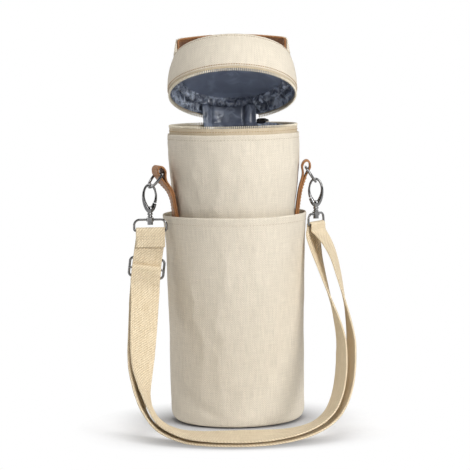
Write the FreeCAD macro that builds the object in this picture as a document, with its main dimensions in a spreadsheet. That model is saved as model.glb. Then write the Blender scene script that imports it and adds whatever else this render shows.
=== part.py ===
import FreeCAD, Part
import math
import os
import Sketcher

doc = FreeCAD.newDocument("bottle_carrier")
sheet = doc.addObject("Spreadsheet::Sheet", "dims")

# lengths in mm, angles in degrees
driving = {
    "canvas": 1.2,
    "foam": 4.0,
    "lining": 0.6,
    "leather": 2.0,
    "layer_gap": 0.3,
    "running_gap": 0.06,
    "body_height": 310.0,
    "pocket_height": 216.0,
    "waist_radius": 62.5,
    "flare_radius": 66.2,
    "bulge_radius": 68.8,
    "shell_rim_radius": 68.2,
    "tape": 0.9,
    "tape_radius": 66.5,
    "tape_depth": 18.0,
    "tape_show": 10.0,
    "teeth_width": 2.0,
    "teeth_height": 1.4,
    "zip_gap": 0.7,
    "hem_height": 8.0,
    "pocket_flat_radius": 58.0,
    "pocket_corner": 12.0,
    "pocket_neck_drop": 26.0,
    "pocket_neck_radius": 72.9,
    "pocket_rim_radius": 75.2,
    "pocket_hem_height": 18.0,
    "board": 2.0,
    "base_foam": 4.6,
    "hinge_width": 55.0,
    "hinge_set": 5.9,
    "lid_open": 55.154,
    "lid_height": 44.0,
    "lid_top_radius": 60.0,
    "lid_bulge_radius": 66.6,
    "lid_edge_radius": 67.9,
    "lid_tape_show": 5.5,
    "lid_tape_depth": 13.0,
    "handle_width": 28.0,
    "handle_reach": 58.6,
    "handle_ear": 14.5,
    "handle_rise": 21.0,
    "handle_corner": 5.0,
    "end_tab_length": 6.0,
    "end_tab_height": 5.0,
    "zip_turn": 311.0,
    "zip_park": 5.8,
    "slider_angle": 9.5,
    "slider_low": 3.4,
    "slider_high": 1.9,
    "slider_plate": 1.2,
    "slider_web": 0.8,
    "pull_wire": 0.8,
    "pull_stand": 1.9,
    "pull_width": 7.0,
    "pull_length": 22.0,
    "tab_width": 20.0,
    "tab_foot": 34.0,
    "tab_stem": 50.0,
    "tab_loop": 5.0,
    "right_azimuth": 0.0,
    "right_clear": 9.79,
    "right_ring_lean": 33.0,
    "right_eye_turn": 60.0,
    "left_azimuth": 200.0,
    "left_clear": 17.56,
    "left_ring_lean": 38.0,
    "left_eye_turn": -20.0,
    "ring_wire": 1.4,
    "ring_half": 11.9,
    "ring_drop": 18.3,
    "eye_wire": 1.2,
    "eye_half": 16.7,
    "eye_height": 11.5,
    "eye_foot_corner": 2.0,
    "eye_shoulder": 6.0,
    "collar_radius": 3.8,
    "collar_height": 4.0,
    "post_radius": 2.0,
    "rivet_radius": 2.9,
    "rivet_height": 3.0,
    "hook_length": 35.2,
    "hook_half": 8.2,
    "hook_neck": 2.7,
    "hook_thick": 3.6,
    "hook_boss": 5.4,
    "gate_thick": 2.2,
    "gate_pin": 0.8,
    "gate_lug": 2.0,
    "spring_wire": 0.2,
    "spring_radius": 0.75,
    "spring_height": 4.4,
    "spring_pitch": 0.8,
    "strap_width": 30.0,
    "strap": 2.0,
    "strap_span": 100.0,
    "strap_flap": 17.0,
    "fold_flap": 12.0,
    "adjuster_half": 17.8,
    "adjuster_rise": 9.8,
    "adjuster_wire": 1.3,
    "adjuster_corner": 4.0,
    "adjuster_lean": 7.0,
    "adjuster_drop": 39.0,
}


class Size:
    """A number together with the sheet expression that gives it."""

    def __init__(self, value, text):
        self.value = value
        self.text = text

    def join(self, other, sign, value):
        return Size(value, f"({self.text} {sign} {other.text})")

    def __add__(self, other):
        return self.join(other, "+", self.value + other.value)

    def __sub__(self, other):
        return self.join(other, "-", self.value - other.value)

    def __mul__(self, share):
        return Size(self.value * share, f"({self.text} * {share!r})")

    def __neg__(self):
        return self * -1.0

    def times(self, other):
        return self.join(other, "*", self.value * other.value)


for row, (name, value) in enumerate(driving.items(), start=1):
    sheet.set(f"A{row}", name)
    sheet.set(f"B{row}", repr(value))
    sheet.setAlias(f"B{row}", name)
doc.recompute()


def size(name):
    return Size(float(sheet.get(name)), f"dims.{name}")


def sine(angle):
    return Size(math.sin(math.radians(angle.value)), f"sin({angle.text})")


def cosine(angle):
    return Size(math.cos(math.radians(angle.value)), f"cos({angle.text})")


def wider(a, b):
    return Size(max(a.value, b.value), f"max({a.text}; {b.text})")


def arcsine(length, reach):
    value = math.degrees(math.asin(length.value / reach.value))
    return Size(value, f"(asin({length.text} / {reach.text}) / 1 deg)")


def arc_angle(length, radius):
    return Size(math.degrees(length.value / radius.value), f"({length.text} / {radius.text} * 180 / pi)")


zero = Size(0.0, "0")
s = {name: size(name) for name in driving}
half_share = 0.5


def half(length):
    return length * half_share


handed = []


def place(piece, x=zero, y=zero, z=zero, turns=()):
    spin = " * ".join(f"rotation(vector({axis}); {angle.text})" for axis, angle in turns)
    spin = spin or "rotation(vector(0; 0; 1); 0)"
    piece.setExpression("Placement", f"placement(vector({x.text}; {y.text}; {z.text}); {spin})")


def new_body(label):
    body = doc.addObject("PartDesign::Body", label)
    body.Label = label
    handed.append(body)
    return body


def new_sketch(body, role):
    sketch = body.newObject("Sketcher::SketchObject", f"{body.Name}_sketch")
    plane = next(f for f in body.Origin.OriginFeatures if f.Role == role)
    sketch.AttachmentSupport = (plane, [""])
    sketch.MapMode = "FlatFace"
    return sketch


def fix_point(sketch, geometry, end, x, y):
    for kind, length in (("DistanceX", x), ("DistanceY", y)):
        index = sketch.addConstraint(Sketcher.Constraint(kind, -1, 1, geometry, end, length.value))
        if length.value:
            sketch.setExpression(f"Constraints[{index}]", length.text)


def vector_of(x, y):
    return FreeCAD.Vector(x.value, y.value, 0)


def draw(sketch, corners, closed=True):
    """Each corner is (x, y), or (x, y, via) where an arc through via leads to the next one."""
    count = len(corners) if closed else len(corners) - 1
    ends = []
    for i in range(count):
        start, stop = corners[i], corners[(i + 1) % len(corners)]
        a, b = vector_of(*start[:2]), vector_of(*stop[:2])
        if len(start) > 2:
            via = vector_of(*start[2])
            edge = sketch.addGeometry(Part.Arc(a, via, b))
            first, last = sketch.getPoint(edge, 1), sketch.getPoint(edge, 2)
            swapped = first.distanceToPoint(a) > last.distanceToPoint(a)
            ends.append((edge, 2, 1) if swapped else (edge, 1, 2))
            mark = sketch.addGeometry(Part.Point(via), True)
            fix_point(sketch, mark, 1, *start[2])
            sketch.addConstraint(Sketcher.Constraint("PointOnObject", mark, 1, edge))
        else:
            edge = sketch.addGeometry(Part.LineSegment(a, b))
            ends.append((edge, 1, 2))
    for i, (edge, first, last) in enumerate(ends):
        fix_point(sketch, edge, first, *corners[i][:2])
        if closed or i + 1 < count:
            following = ends[(i + 1) % count]
            sketch.addConstraint(Sketcher.Constraint("Coincident", edge, last, following[0], following[1]))
        else:
            fix_point(sketch, edge, last, *corners[-1][:2])


def draw_circle(sketch, x, y, radius):
    ring = sketch.addGeometry(Part.Circle(vector_of(x, y), FreeCAD.Vector(0, 0, 1), radius.value))
    fix_point(sketch, ring, 3, x, y)
    index = sketch.addConstraint(Sketcher.Constraint("Radius", ring, radius.value))
    sketch.setExpression(f"Constraints[{index}]", radius.text)


def mirrored(corners):
    return [tuple([-c[0], c[1]] + [(-via[0], via[1]) for via in c[2:]]) for c in corners]


def turned_piece(label, corners, angle=None, body=None, feature="PartDesign::Revolution"):
    """A ring about Z from corners (radius, height); a part turn is centred on the front."""
    body = body or new_body(label)
    sketch = new_sketch(body, "YZ_Plane")
    draw(sketch, mirrored(corners))
    turn = body.newObject(feature, f"{label}_turn")
    turn.Profile = sketch
    turn.ReferenceAxis = (sketch, ["V_Axis"])
    turn.Midplane = True
    turn.Angle = 360
    if angle:
        turn.setExpression("Angle", angle.text)
    return body


def padded_piece(label, outlines, thick, role="XZ_Plane", circles=(), body=None, feature="PartDesign::Pad"):
    body = body or new_body(label)
    sketch = new_sketch(body, role)
    for corners in outlines:
        draw(sketch, corners)
    for circle in circles:
        draw_circle(sketch, *circle)
    pad = body.newObject(feature, f"{label}_pad")
    pad.Profile = sketch
    pad.Midplane = True
    pad.setExpression("Length", thick.text)
    return body


def wire_piece(label, corners, wire, spine_role, round_role, closed=True, body=None, at=(zero, zero)):
    """A round wire along corners; the first corner lies on round_role's plane at the place at."""
    body = body or new_body(label)
    spine = new_sketch(body, spine_role)
    draw(spine, corners, closed)
    end = new_sketch(body, round_role)
    draw_circle(end, *at, wire)
    pipe = body.newObject("PartDesign::AdditivePipe", f"{label}_pipe")
    pipe.Profile = end
    pipe.Spine = spine
    return body


def ring_corners(inner, outer, low, high):
    return [(inner, low), (outer, low), (outer, high), (inner, high)]


zip_angle = s["zip_turn"]

# insulated wall: canvas shell, foam and lining share one outline, each further in
flare_shares = (0.2136, 0.4273, 0.8294)
flare_bow_share = 0.36
tape_foot = s["body_height"] - s["tape_depth"]
foam_top = tape_foot - s["canvas"]


def wall_outline(inset, thick, low, high):
    drop = foam_top - s["pocket_height"]
    start = s["pocket_height"] - s["canvas"]
    mid = s["pocket_height"] + drop * flare_shares[0]
    flare = s["pocket_height"] + drop * flare_shares[1]
    bulge = s["pocket_height"] + drop * flare_shares[2]
    waist, wide, top = s["waist_radius"] - inset, s["flare_radius"] - inset, s["shell_rim_radius"] - inset
    bow = waist + (wide - waist) * flare_bow_share
    full = s["bulge_radius"] - inset
    flared = [
        (waist, start, (bow, mid)),
        (wide, flare, (full, bulge)),
        (top, high),
        (top - thick, high, (full - thick, bulge)),
        (wide - thick, flare, (bow - thick, mid)),
        (waist - thick, start),
    ]
    return [(waist, low)] + flared + [(waist - thick, low)] if low else flared


shell_top = s["body_height"] - s["tape_show"]
floor_top = s["canvas"] + s["layer_gap"] + s["board"] + s["layer_gap"]
cushion_top = floor_top + s["base_foam"]
foam_inset = s["canvas"] + s["layer_gap"]
lining_inset = foam_inset + s["foam"] + s["layer_gap"]
turned_piece("body_shell", wall_outline(zero, s["canvas"], floor_top, shell_top))
foam_outer = s["waist_radius"] - foam_inset
foam_split = s["pocket_height"] - s["canvas"] - s["layer_gap"]
turned_piece(
    "wall_foam",
    ring_corners(foam_outer - s["foam"], foam_outer, cushion_top + s["layer_gap"], foam_split),
)
turned_piece("collar_foam", wall_outline(foam_inset, s["foam"], None, foam_top))
facing_top = tape_foot + s["tape_show"]
facing_inner = s["shell_rim_radius"] - lining_inset - s["lining"]
facing_foot = foam_top + s["layer_gap"]
facing_step = facing_foot + s["canvas"]
turned_piece("wall_lining", wall_outline(lining_inset, s["lining"], cushion_top + s["layer_gap"], foam_top))
facing_outer = s["tape_radius"] - s["tape"] - s["layer_gap"]
turned_piece(
    "rim_facing",
    [
        (facing_inner, facing_foot),
        (facing_outer, facing_foot),
        (facing_outer, facing_top),
        (facing_outer - s["lining"], facing_top),
        (facing_outer - s["lining"], facing_step),
        (facing_inner, facing_step),
    ],
)
turned_piece(
    "rim_hem",
    ring_corners(
        s["shell_rim_radius"] + s["layer_gap"],
        s["shell_rim_radius"] + s["layer_gap"] + half(s["canvas"]),
        shell_top - half(s["hem_height"]),
        shell_top,
    ),
)

# floor of the carrier, from the outside in
disc_radius = s["pocket_flat_radius"] - s["layer_gap"]
turned_piece("base_panel", ring_corners(zero, disc_radius, zero, s["canvas"]))
board_foot = s["canvas"] + s["layer_gap"]
turned_piece("base_board", ring_corners(zero, disc_radius, board_foot, board_foot + s["board"]))
cushion_radius = s["waist_radius"] - s["canvas"] - s["layer_gap"]
turned_piece("base_foam", ring_corners(zero, cushion_radius, floor_top, cushion_top))
floor_radius = s["waist_radius"] - lining_inset - s["lining"] - s["layer_gap"]
lining_foot = cushion_top + s["layer_gap"]
turned_piece("floor_lining", ring_corners(zero, floor_radius, lining_foot, lining_foot + s["lining"]))

# outer pocket sleeve with a rounded foot and a flared, hemmed mouth
corner_share = math.sqrt(half_share)
wide_foot = s["pocket_flat_radius"] + s["pocket_corner"]
neck_height = s["pocket_height"] - s["pocket_neck_drop"]
bend = s["pocket_corner"] * corner_share
inner_bend = (s["pocket_corner"] - s["canvas"]) * corner_share
turned_piece(
    "pocket_sleeve",
    [
        (
            s["pocket_flat_radius"],
            zero,
            (s["pocket_flat_radius"] + bend, s["pocket_corner"] - bend),
        ),
        (wide_foot, s["pocket_corner"]),
        (s["pocket_neck_radius"], neck_height),
        (s["pocket_rim_radius"], s["pocket_height"]),
        (s["pocket_rim_radius"] - s["canvas"], s["pocket_height"]),
        (s["pocket_neck_radius"] - s["canvas"], neck_height),
        (
            wide_foot - s["canvas"],
            s["pocket_corner"],
            (s["pocket_flat_radius"] + inner_bend, s["pocket_corner"] - inner_bend),
        ),
        (s["pocket_flat_radius"], s["canvas"]),
    ],
)
hem_outer = s["pocket_neck_radius"] - s["canvas"] - s["layer_gap"]
rim_outer = s["pocket_rim_radius"] - s["canvas"] - s["layer_gap"]
turned_piece(
    "pocket_hem",
    [
        (hem_outer, s["pocket_height"] - s["pocket_neck_drop"]),
        (rim_outer, s["pocket_height"]),
        (rim_outer - s["canvas"], s["pocket_height"]),
        (hem_outer - s["canvas"], s["pocket_height"] - s["pocket_neck_drop"]),
    ],
)

# zip halves: a woven tape with a coil of teeth along its edge
tape_inner = s["tape_radius"] - s["tape"]
coil_inner = s["tape_radius"] - half(s["tape"]) - half(s["teeth_width"])
coil_outer = coil_inner + s["teeth_width"]
coil_top = s["body_height"] - s["zip_gap"]
coil_foot = coil_top - s["teeth_height"]
turned_piece("body_zip_tape", ring_corners(tape_inner, s["tape_radius"], tape_foot, coil_foot), zip_angle)
turned_piece("body_zip_teeth", ring_corners(coil_inner, coil_outer, coil_foot, coil_top), zip_angle)

# lid pieces are drawn closed about their own axis and turned up about the back of the rim,
# until the front of the lid stands lid_open above it
lid_angle = arcsine(s["lid_open"], s["tape_radius"] + s["tape_radius"])
lid_y = s["tape_radius"] - s["tape_radius"].times(cosine(lid_angle))
lid_z = s["body_height"] + s["tape_radius"].times(sine(lid_angle))


def on_lid(piece):
    place(piece, zero, lid_y, lid_z, [("1; 0; 0", -lid_angle)])
    return piece


lid_mid_shares = (0.55, 0.5)


def lid_outline(inset, thick, low, high, top):
    foot, crown = s["lid_edge_radius"] - inset, s["lid_top_radius"] - inset
    belly = s["lid_bulge_radius"] - inset
    middle = low + (high - low) * lid_mid_shares[0]
    return [
        (foot, low, (belly, middle)),
        (crown, high),
        (crown - top, high),
        (crown - thick, high - thick, (belly - thick, middle)),
        (foot - thick, low),
    ]


lid_roof = s["lid_height"] - s["canvas"]
band_corners = lid_outline(zero, s["canvas"], s["lid_tape_show"], s["lid_height"], s["canvas"])
on_lid(turned_piece("lid_band", band_corners))
lid_disc = s["lid_top_radius"] - s["canvas"] - s["layer_gap"]
on_lid(turned_piece("lid_top", ring_corners(zero, lid_disc, lid_roof, s["lid_height"])))
lid_tape_head = s["zip_gap"] + s["teeth_height"] + s["lid_tape_depth"]
lid_foam_foot = lid_tape_head + s["layer_gap"]
foam_roof = lid_roof - s["layer_gap"]
band_foam_outer = s["lid_bulge_radius"] - foam_inset - s["canvas"]
on_lid(
    turned_piece(
        "lid_band_foam",
        [
            (band_foam_outer, lid_foam_foot),
            (s["lid_top_radius"] - foam_inset, foam_roof - s["foam"] - s["layer_gap"]),
            (s["lid_top_radius"] - foam_inset - s["foam"], foam_roof - s["foam"] - s["layer_gap"]),
            (band_foam_outer - s["foam"], lid_foam_foot),
        ],
    )
)
top_foam_radius = lid_disc - s["canvas"]
on_lid(turned_piece("lid_top_foam", ring_corners(zero, top_foam_radius, foam_roof - s["foam"], foam_roof)))
lid_ceiling = foam_roof - s["foam"] - s["layer_gap"]
lid_lining_outer = s["lid_top_radius"] - foam_inset - s["foam"] - s["layer_gap"]
ceiling_radius = lid_lining_outer - s["lining"] - s["layer_gap"]
ceiling_corners = ring_corners(zero, ceiling_radius, lid_ceiling - s["lining"], lid_ceiling)
on_lid(turned_piece("lid_ceiling", ceiling_corners))
skirt_outer = band_foam_outer - s["foam"] - s["layer_gap"]
on_lid(
    turned_piece(
        "lid_lining",
        [
            (facing_outer, s["lid_tape_show"]),
            (facing_outer, lid_foam_foot - s["layer_gap"] - s["lining"]),
            (skirt_outer, lid_foam_foot - s["layer_gap"]),
            (lid_lining_outer, lid_ceiling),
            (lid_lining_outer - s["lining"], lid_ceiling),
            (skirt_outer - s["lining"], lid_foam_foot - s["layer_gap"] - s["lining"]),
            (facing_outer - s["lining"], lid_foam_foot - s["layer_gap"] - s["lining"] - s["lining"]),
            (facing_outer - s["lining"], s["lid_tape_show"]),
        ],
    )
)
lid_coil_top = s["zip_gap"] + s["teeth_height"]
lid_tape_corners = ring_corners(tape_inner, s["tape_radius"], lid_coil_top, lid_tape_head)
lid_coil_corners = ring_corners(coil_inner, coil_outer, s["zip_gap"], lid_coil_top)
on_lid(turned_piece("lid_zip_tape", lid_tape_corners, zip_angle))
on_lid(turned_piece("lid_zip_teeth", lid_coil_corners, zip_angle))

# carry handle: canvas outside, leather inside, standing on the lid top on two ears
handle_foot = s["lid_height"] + s["layer_gap"]


def handle_outline(inset, thick):
    lines = []
    for depth in (inset, inset + thick):
        side = s["handle_reach"] - depth
        shoulder = s["lid_height"] + s["handle_ear"]
        corner = s["handle_corner"] - depth * half_share
        bow = corner * (1 - corner_share)
        tip = shoulder + corner - depth * half_share
        lines.append(
            [
                (-side, handle_foot),
                (-side, shoulder, (-side + bow, tip - bow)),
                (-side + corner, tip, (zero, s["lid_height"] + s["handle_rise"] - depth)),
                (side - corner, tip, (side - bow, tip - bow)),
                (side, shoulder),
                (side, handle_foot),
            ]
        )
    outer, inner = lines
    back = [
        (inner[5][0], inner[5][1]),
        (inner[4][0], inner[4][1], inner[3][2]),
        (inner[3][0], inner[3][1], inner[2][2]),
        (inner[2][0], inner[2][1], inner[1][2]),
        (inner[1][0], inner[1][1]),
        (inner[0][0], inner[0][1]),
    ]
    return outer + back


on_lid(padded_piece("handle_canvas", [handle_outline(zero, s["canvas"])], s["handle_width"]))
on_lid(padded_piece("handle_leather", [handle_outline(foam_inset, s["leather"])], s["handle_width"]))

# small leather tab over the lid's zip end, left of the hinge
end_turn = half(zip_angle)
end_tab = turned_piece(
    "zip_end_tab",
    ring_corners(
        facing_outer - s["lining"] - s["layer_gap"] - half(s["leather"]),
        facing_outer - s["lining"] - s["layer_gap"],
        s["lid_tape_show"],
        s["lid_tape_show"] + s["end_tab_height"],
    ),
    half(s["slider_angle"]),
)
tab_turn = half(s["slider_angle"]) - end_turn
place(end_tab, zero, lid_y, lid_z, [("1; 0; 0", -lid_angle), ("0; 0; 1", tab_turn)])

# fabric hinge: a strip outside and a lining strip inside, bridging the two rims at the back
hinge_up = s["lid_tape_show"] - s["layer_gap"]
strip_share = 0.72


def hinge_strip(label, radius, thick, drop, rise):
    body = new_body(label)
    sketch = new_sketch(body, "YZ_Plane")
    hub = s["tape_radius"]
    reach = radius - hub
    lean_y, lean_z = sine(lid_angle), cosine(lid_angle)
    outer = reach + thick

    def raised(offset, height):
        y = hub + offset.times(lean_z) + height.times(lean_y)
        z = s["body_height"] - offset.times(lean_y) + height.times(lean_z)
        return (y, z)

    draw(
        sketch,
        [
            (hub + reach, s["body_height"] - drop),
            (hub + outer, s["body_height"] - drop),
            (hub + outer, s["body_height"] - s["zip_gap"]),
            raised(outer, s["zip_gap"]),
            raised(outer, rise),
            raised(reach, rise),
            raised(reach, s["zip_gap"]),
            (hub + reach, s["body_height"] - s["zip_gap"]),
        ],
    )
    pad = body.newObject("PartDesign::Pad", f"{label}_pad")
    pad.Profile = sketch
    pad.Midplane = True
    pad.setExpression("Length", (s["hinge_width"] * strip_share).text)
    return body


hinge_drop = s["tape_show"] - s["layer_gap"]
hinge_strip("hinge_panel", s["tape_radius"] + s["layer_gap"], s["tape"], hinge_drop, hinge_up)
hinge_strip(
    "hinge_lining",
    s["tape_radius"] - s["hinge_set"],
    s["lining"],
    s["layer_gap"] + half(s["tape_show"]),
    s["lid_tape_show"],
)

# zip slider: two plates joined by a web that runs in the gap between the coils
plate_in = coil_inner - s["layer_gap"]
plate_out = coil_outer + s["layer_gap"]
web_low = s["body_height"] - half(s["slider_web"])
web_high = s["body_height"] + half(s["slider_web"])
plate_low = s["body_height"] - s["slider_low"]
plate_high = s["body_height"] + s["slider_high"]
slider = turned_piece(
    "zip_slider",
    [
        (plate_in - s["slider_plate"], plate_low),
        (plate_in, plate_low),
        (plate_in, web_low),
        (plate_out, web_low),
        (plate_out, plate_low),
        (plate_out + s["slider_plate"], plate_low),
        (plate_out + s["slider_plate"], plate_high),
        (plate_out, plate_high),
        (plate_out, web_high),
        (plate_in, web_high),
        (plate_in, plate_high),
        (plate_in - s["slider_plate"], plate_high),
    ],
    s["slider_angle"],
)
park = half(zip_angle) - arc_angle(s["zip_park"], s["tape_radius"])
place(slider, turns=[("0; 0; 1", park)])
pull_radius = plate_out + s["slider_plate"] + s["pull_stand"]
pull_height = s["body_height"] + half(s["slider_high"])


def on_slider(piece):
    x = pull_radius.times(sine(park))
    y = -pull_radius.times(cosine(park))
    place(piece, x, y, pull_height, [("0; 0; 1", park)])
    return piece


bail_half = half(s["pull_width"]) * half_share + s["pull_wire"] + s["pull_wire"]
lug = padded_piece(
    "zip_pull_lug",
    [
        [
            (s["pull_wire"] + half(s["pull_wire"]), -s["pull_wire"] - half(s["pull_wire"])),
            (s["pull_stand"] - s["layer_gap"] * half_share, -s["pull_wire"] - half(s["pull_wire"])),
            (s["pull_stand"] - s["layer_gap"] * half_share, s["pull_wire"] + half(s["pull_wire"])),
            (
                zero,
                s["pull_wire"] + half(s["pull_wire"]),
                (-s["pull_wire"] - half(s["pull_wire"]), zero),
            ),
            (zero, -s["pull_wire"] - half(s["pull_wire"])),
        ]
    ],
    half(s["pull_width"]) * half_share,
    "YZ_Plane",
    [(zero, zero, s["pull_wire"] + s["running_gap"])],
)
on_slider(lug)
bail_drop = s["pull_width"]
bail_corner = s["pull_wire"] + half(s["pull_wire"])
bail_bow = bail_corner * (1 - corner_share)
on_slider(
    wire_piece(
        "zip_pull_bail",
        [
            (zero, zero),
            (bail_half - bail_corner, zero, (bail_half - bail_bow, -bail_bow)),
            (bail_half, -bail_corner),
            (bail_half, bail_corner - bail_drop, (bail_half - bail_bow, bail_bow - bail_drop)),
            (bail_half - bail_corner, -bail_drop),
            (bail_corner - bail_half, -bail_drop, (bail_bow - bail_half, bail_bow - bail_drop)),
            (-bail_half, bail_corner - bail_drop),
            (-bail_half, -bail_corner, (bail_bow - bail_half, -bail_bow)),
            (bail_corner - bail_half, zero),
        ],
        s["pull_wire"],
        "XZ_Plane",
        "YZ_Plane",
    )
)
pull_tip = bail_drop + s["pull_length"]
pull_side = half(s["pull_width"])
on_slider(
    padded_piece(
        "zip_pull_tab",
        [
            [
                (-pull_side, -bail_drop - s["pull_wire"] - s["layer_gap"]),
                (-pull_side, -pull_tip + pull_side, (zero, -pull_tip)),
                (pull_side, -pull_tip + pull_side),
                (pull_side, -bail_drop - s["pull_wire"] - s["layer_gap"]),
            ]
        ],
        s["leather"],
    )
)

# leather side tabs, rings, swivel hooks with spring gates, and strap eyes
stem_in = s["waist_radius"] + s["layer_gap"]
stem_out = stem_in + s["leather"] + s["leather"]
stem_bend = s["pocket_height"] - s["leather"]
top_bar_z = s["eye_height"]
collar_foot = top_bar_z - half(s["collar_height"])
collar_head = top_bar_z + half(s["collar_height"])
neck_foot = collar_head + s["layer_gap"]
arch_share = 0.9262
hang = neck_foot + s["hook_length"] * arch_share - s["ring_wire"] - s["layer_gap"]
eye_places = {}
for hand in ("left", "right"):
    azimuth = s[f"{hand}_azimuth"]
    ring_lean = s[f"{hand}_ring_lean"]
    eye_turn = s[f"{hand}_eye_turn"]
    ring_reach = s["ring_drop"].times(sine(ring_lean))
    past_rim = s["pocket_rim_radius"] + s[f"{hand}_clear"] - ring_reach
    past_wall = s["bulge_radius"] + s["tab_loop"] + s["layer_gap"]
    loop_r = wider(past_rim, past_wall)
    hook_r = loop_r + ring_reach
    lean = arcsine(loop_r - half(stem_in + stem_out), s["tab_stem"])
    loop_z = stem_bend + s["tab_stem"].times(cosine(lean))
    side_r, side_z = s["tab_loop"].times(cosine(lean)), s["tab_loop"].times(sine(lean))
    tab = padded_piece(
        f"side_tab_{hand}",
        [
            [
                (stem_in, stem_bend - s["tab_foot"]),
                (stem_in, stem_bend),
                (
                    loop_r - side_r,
                    loop_z + side_z,
                    (loop_r + side_z, loop_z + side_r),
                ),
                (loop_r + side_r, loop_z - side_z),
                (stem_out, stem_bend),
                (stem_out, stem_bend - s["tab_foot"]),
            ]
        ],
        s["tab_width"],
        circles=[(loop_r, loop_z, s["ring_wire"] + s["layer_gap"])],
    )
    place(tab, turns=[("0; 0; 1", azimuth)])

    bow = s["ring_half"]
    shank = s["ring_drop"] - s["ring_half"]
    ring_corner = s["eye_foot_corner"]
    ring_bow = ring_corner * (1 - corner_share)
    ring = wire_piece(
        f"ring_{hand}",
        [
            (zero, zero),
            (bow - ring_corner, zero, (bow - ring_bow, -ring_bow)),
            (bow, -ring_corner),
            (bow, -shank, (zero, -s["ring_drop"])),
            (-bow, -shank),
            (-bow, -ring_corner, (ring_bow - bow, -ring_bow)),
            (ring_corner - bow, zero),
        ],
        s["ring_wire"],
        "YZ_Plane",
        "XZ_Plane",
    )
    around = [("0; 0; 1", azimuth)]
    loop_x, loop_y = loop_r.times(cosine(azimuth)), loop_r.times(sine(azimuth))
    place(ring, loop_x, loop_y, loop_z, around + [("0; 1; 0", -ring_lean)])

    hook_x, hook_y = hook_r.times(cosine(azimuth)), hook_r.times(sine(azimuth))
    hook_z = loop_z - s["ring_drop"].times(cosine(ring_lean)) - hang
    eye_places[hand] = (hook_x, hook_y, hook_z, azimuth, eye_turn)

    reach, foot, rise = s["eye_half"], s["eye_foot_corner"], s["eye_height"]
    foot_bow = foot * (1 - corner_share)
    shoulder = s["eye_shoulder"]
    shoulder_bow = shoulder * (1 - corner_share)
    eye = wire_piece(
        f"eye_{hand}",
        [
            (zero, zero),
            (reach - foot, zero, (reach - foot_bow, foot_bow)),
            (reach, foot),
            (reach, rise - shoulder, (reach - shoulder_bow, rise - shoulder_bow)),
            (reach - shoulder, rise),
            (-reach + shoulder, rise, (-reach + shoulder_bow, rise - shoulder_bow)),
            (-reach, rise - shoulder),
            (-reach, foot, (-reach + foot_bow, foot_bow)),
            (-reach + foot, zero),
        ],
        s["eye_wire"],
        "XZ_Plane",
        "YZ_Plane",
    )
    collar_corners = ring_corners(zero, s["collar_radius"], collar_foot, collar_head)
    turned_piece(f"eye_{hand}_collar", collar_corners, body=eye)
    bore = s["post_radius"] + s["running_gap"]
    turned_piece(
        f"eye_{hand}_bore",
        ring_corners(zero, bore, collar_foot - s["layer_gap"], collar_head + s["layer_gap"]),
        body=eye,
        feature="PartDesign::Groove",
    )
    place(eye, hook_x, hook_y, hook_z, [("0; 0; 1", azimuth + eye_turn)])

    rivet_head = collar_foot - s["layer_gap"]
    rivet = turned_piece(
        f"swivel_rivet_{hand}",
        [
            (zero, rivet_head - s["rivet_height"]),
            (s["rivet_radius"], rivet_head - s["rivet_height"]),
            (s["rivet_radius"], rivet_head),
            (s["post_radius"], rivet_head),
            (s["post_radius"], neck_foot),
            (zero, neck_foot),
        ],
    )
    place(rivet, hook_x, hook_y, hook_z, around)

    length, wide, neck = s["hook_length"], s["hook_half"], s["hook_neck"]

    def at(x_share, z_share):
        return (wide * x_share, neck_foot + length * z_share)

    outer_shares = [(0.33, 0.0), (0.33, 0.10), (1.0, 0.582), (0.66, 0.886)]
    outer_via_shares = [(0.77, 0.298), (0.93, 0.739), (0.0, 1.0)]
    inner_shares = [(0.24, 0.3125), (0.634, 0.5966), (0.39, 0.8466)]
    inner_via_shares = [(0.537, 0.44), (0.585, 0.733), (0.0, 0.9262)]

    def flip(point):
        return (-point[0], point[1])

    o = [at(*p) for p in outer_shares]
    ov = [at(*p) for p in outer_via_shares]
    i = [at(*p) for p in inner_shares]
    iv = [at(*p) for p in inner_via_shares]
    inner_foot_shares = (0.0, 0.26)
    v_foot = at(*inner_foot_shares)
    outer = [
        o[0],
        o[1] + (ov[0],),
        o[2] + (ov[1],),
        o[3] + (ov[2],),
        flip(o[3]) + (flip(ov[1]),),
        flip(o[2]) + (flip(ov[0]),),
        flip(o[1]),
        flip(o[0]),
    ]
    inner = [
        i[0] + (iv[0],),
        i[1] + (iv[1],),
        i[2] + (iv[2],),
        flip(i[2]) + (flip(iv[1]),),
        flip(i[1]) + (flip(iv[0]),),
        flip(i[0]) + (v_foot,),
    ]
    hook = padded_piece(f"hook_{hand}", [outer, inner], s["hook_thick"])
    boss_shares = [(0.42, 0.0), (0.42, 0.09), (0.95, 0.37), (0.45, 0.37), (0.30, 0.24)]
    b = [at(*p) for p in boss_shares]
    boss = b + [flip(p) for p in reversed(b)]
    padded_piece(f"hook_{hand}_boss", [boss], s["hook_boss"], body=hook)
    open_shares = [(-0.02, 0.385), (-1.3, 0.385), (-1.3, 0.805), (-0.02, 0.805)]
    padded_piece(
        f"hook_{hand}_mouth",
        [[at(*p) for p in open_shares]],
        s["hook_boss"] + s["hook_boss"],
        body=hook,
        feature="PartDesign::Pocket",
    )
    slot_shares = [(0.05, 0.19), (-0.42, 0.19), (-1.3, 0.235), (-1.3, 0.405), (0.05, 0.405)]
    slot = s["gate_thick"] + s["layer_gap"] + s["layer_gap"]
    padded_piece(
        f"hook_{hand}_slot", [[at(*p) for p in slot_shares]], slot, body=hook, feature="PartDesign::Pocket"
    )
    pin_shares = (-0.61, 0.307)
    pin_x, pin_z = at(*pin_shares)
    padded_piece(
        f"hook_{hand}_pin_hole",
        [],
        s["hook_boss"] + s["hook_boss"],
        circles=[(pin_x, pin_z, s["gate_pin"] + s["running_gap"] * half_share)],
        body=hook,
        feature="PartDesign::Pocket",
    )
    spring_foot_shares, spring_top_share = (-0.11, 0.0824), 0.2
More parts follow.
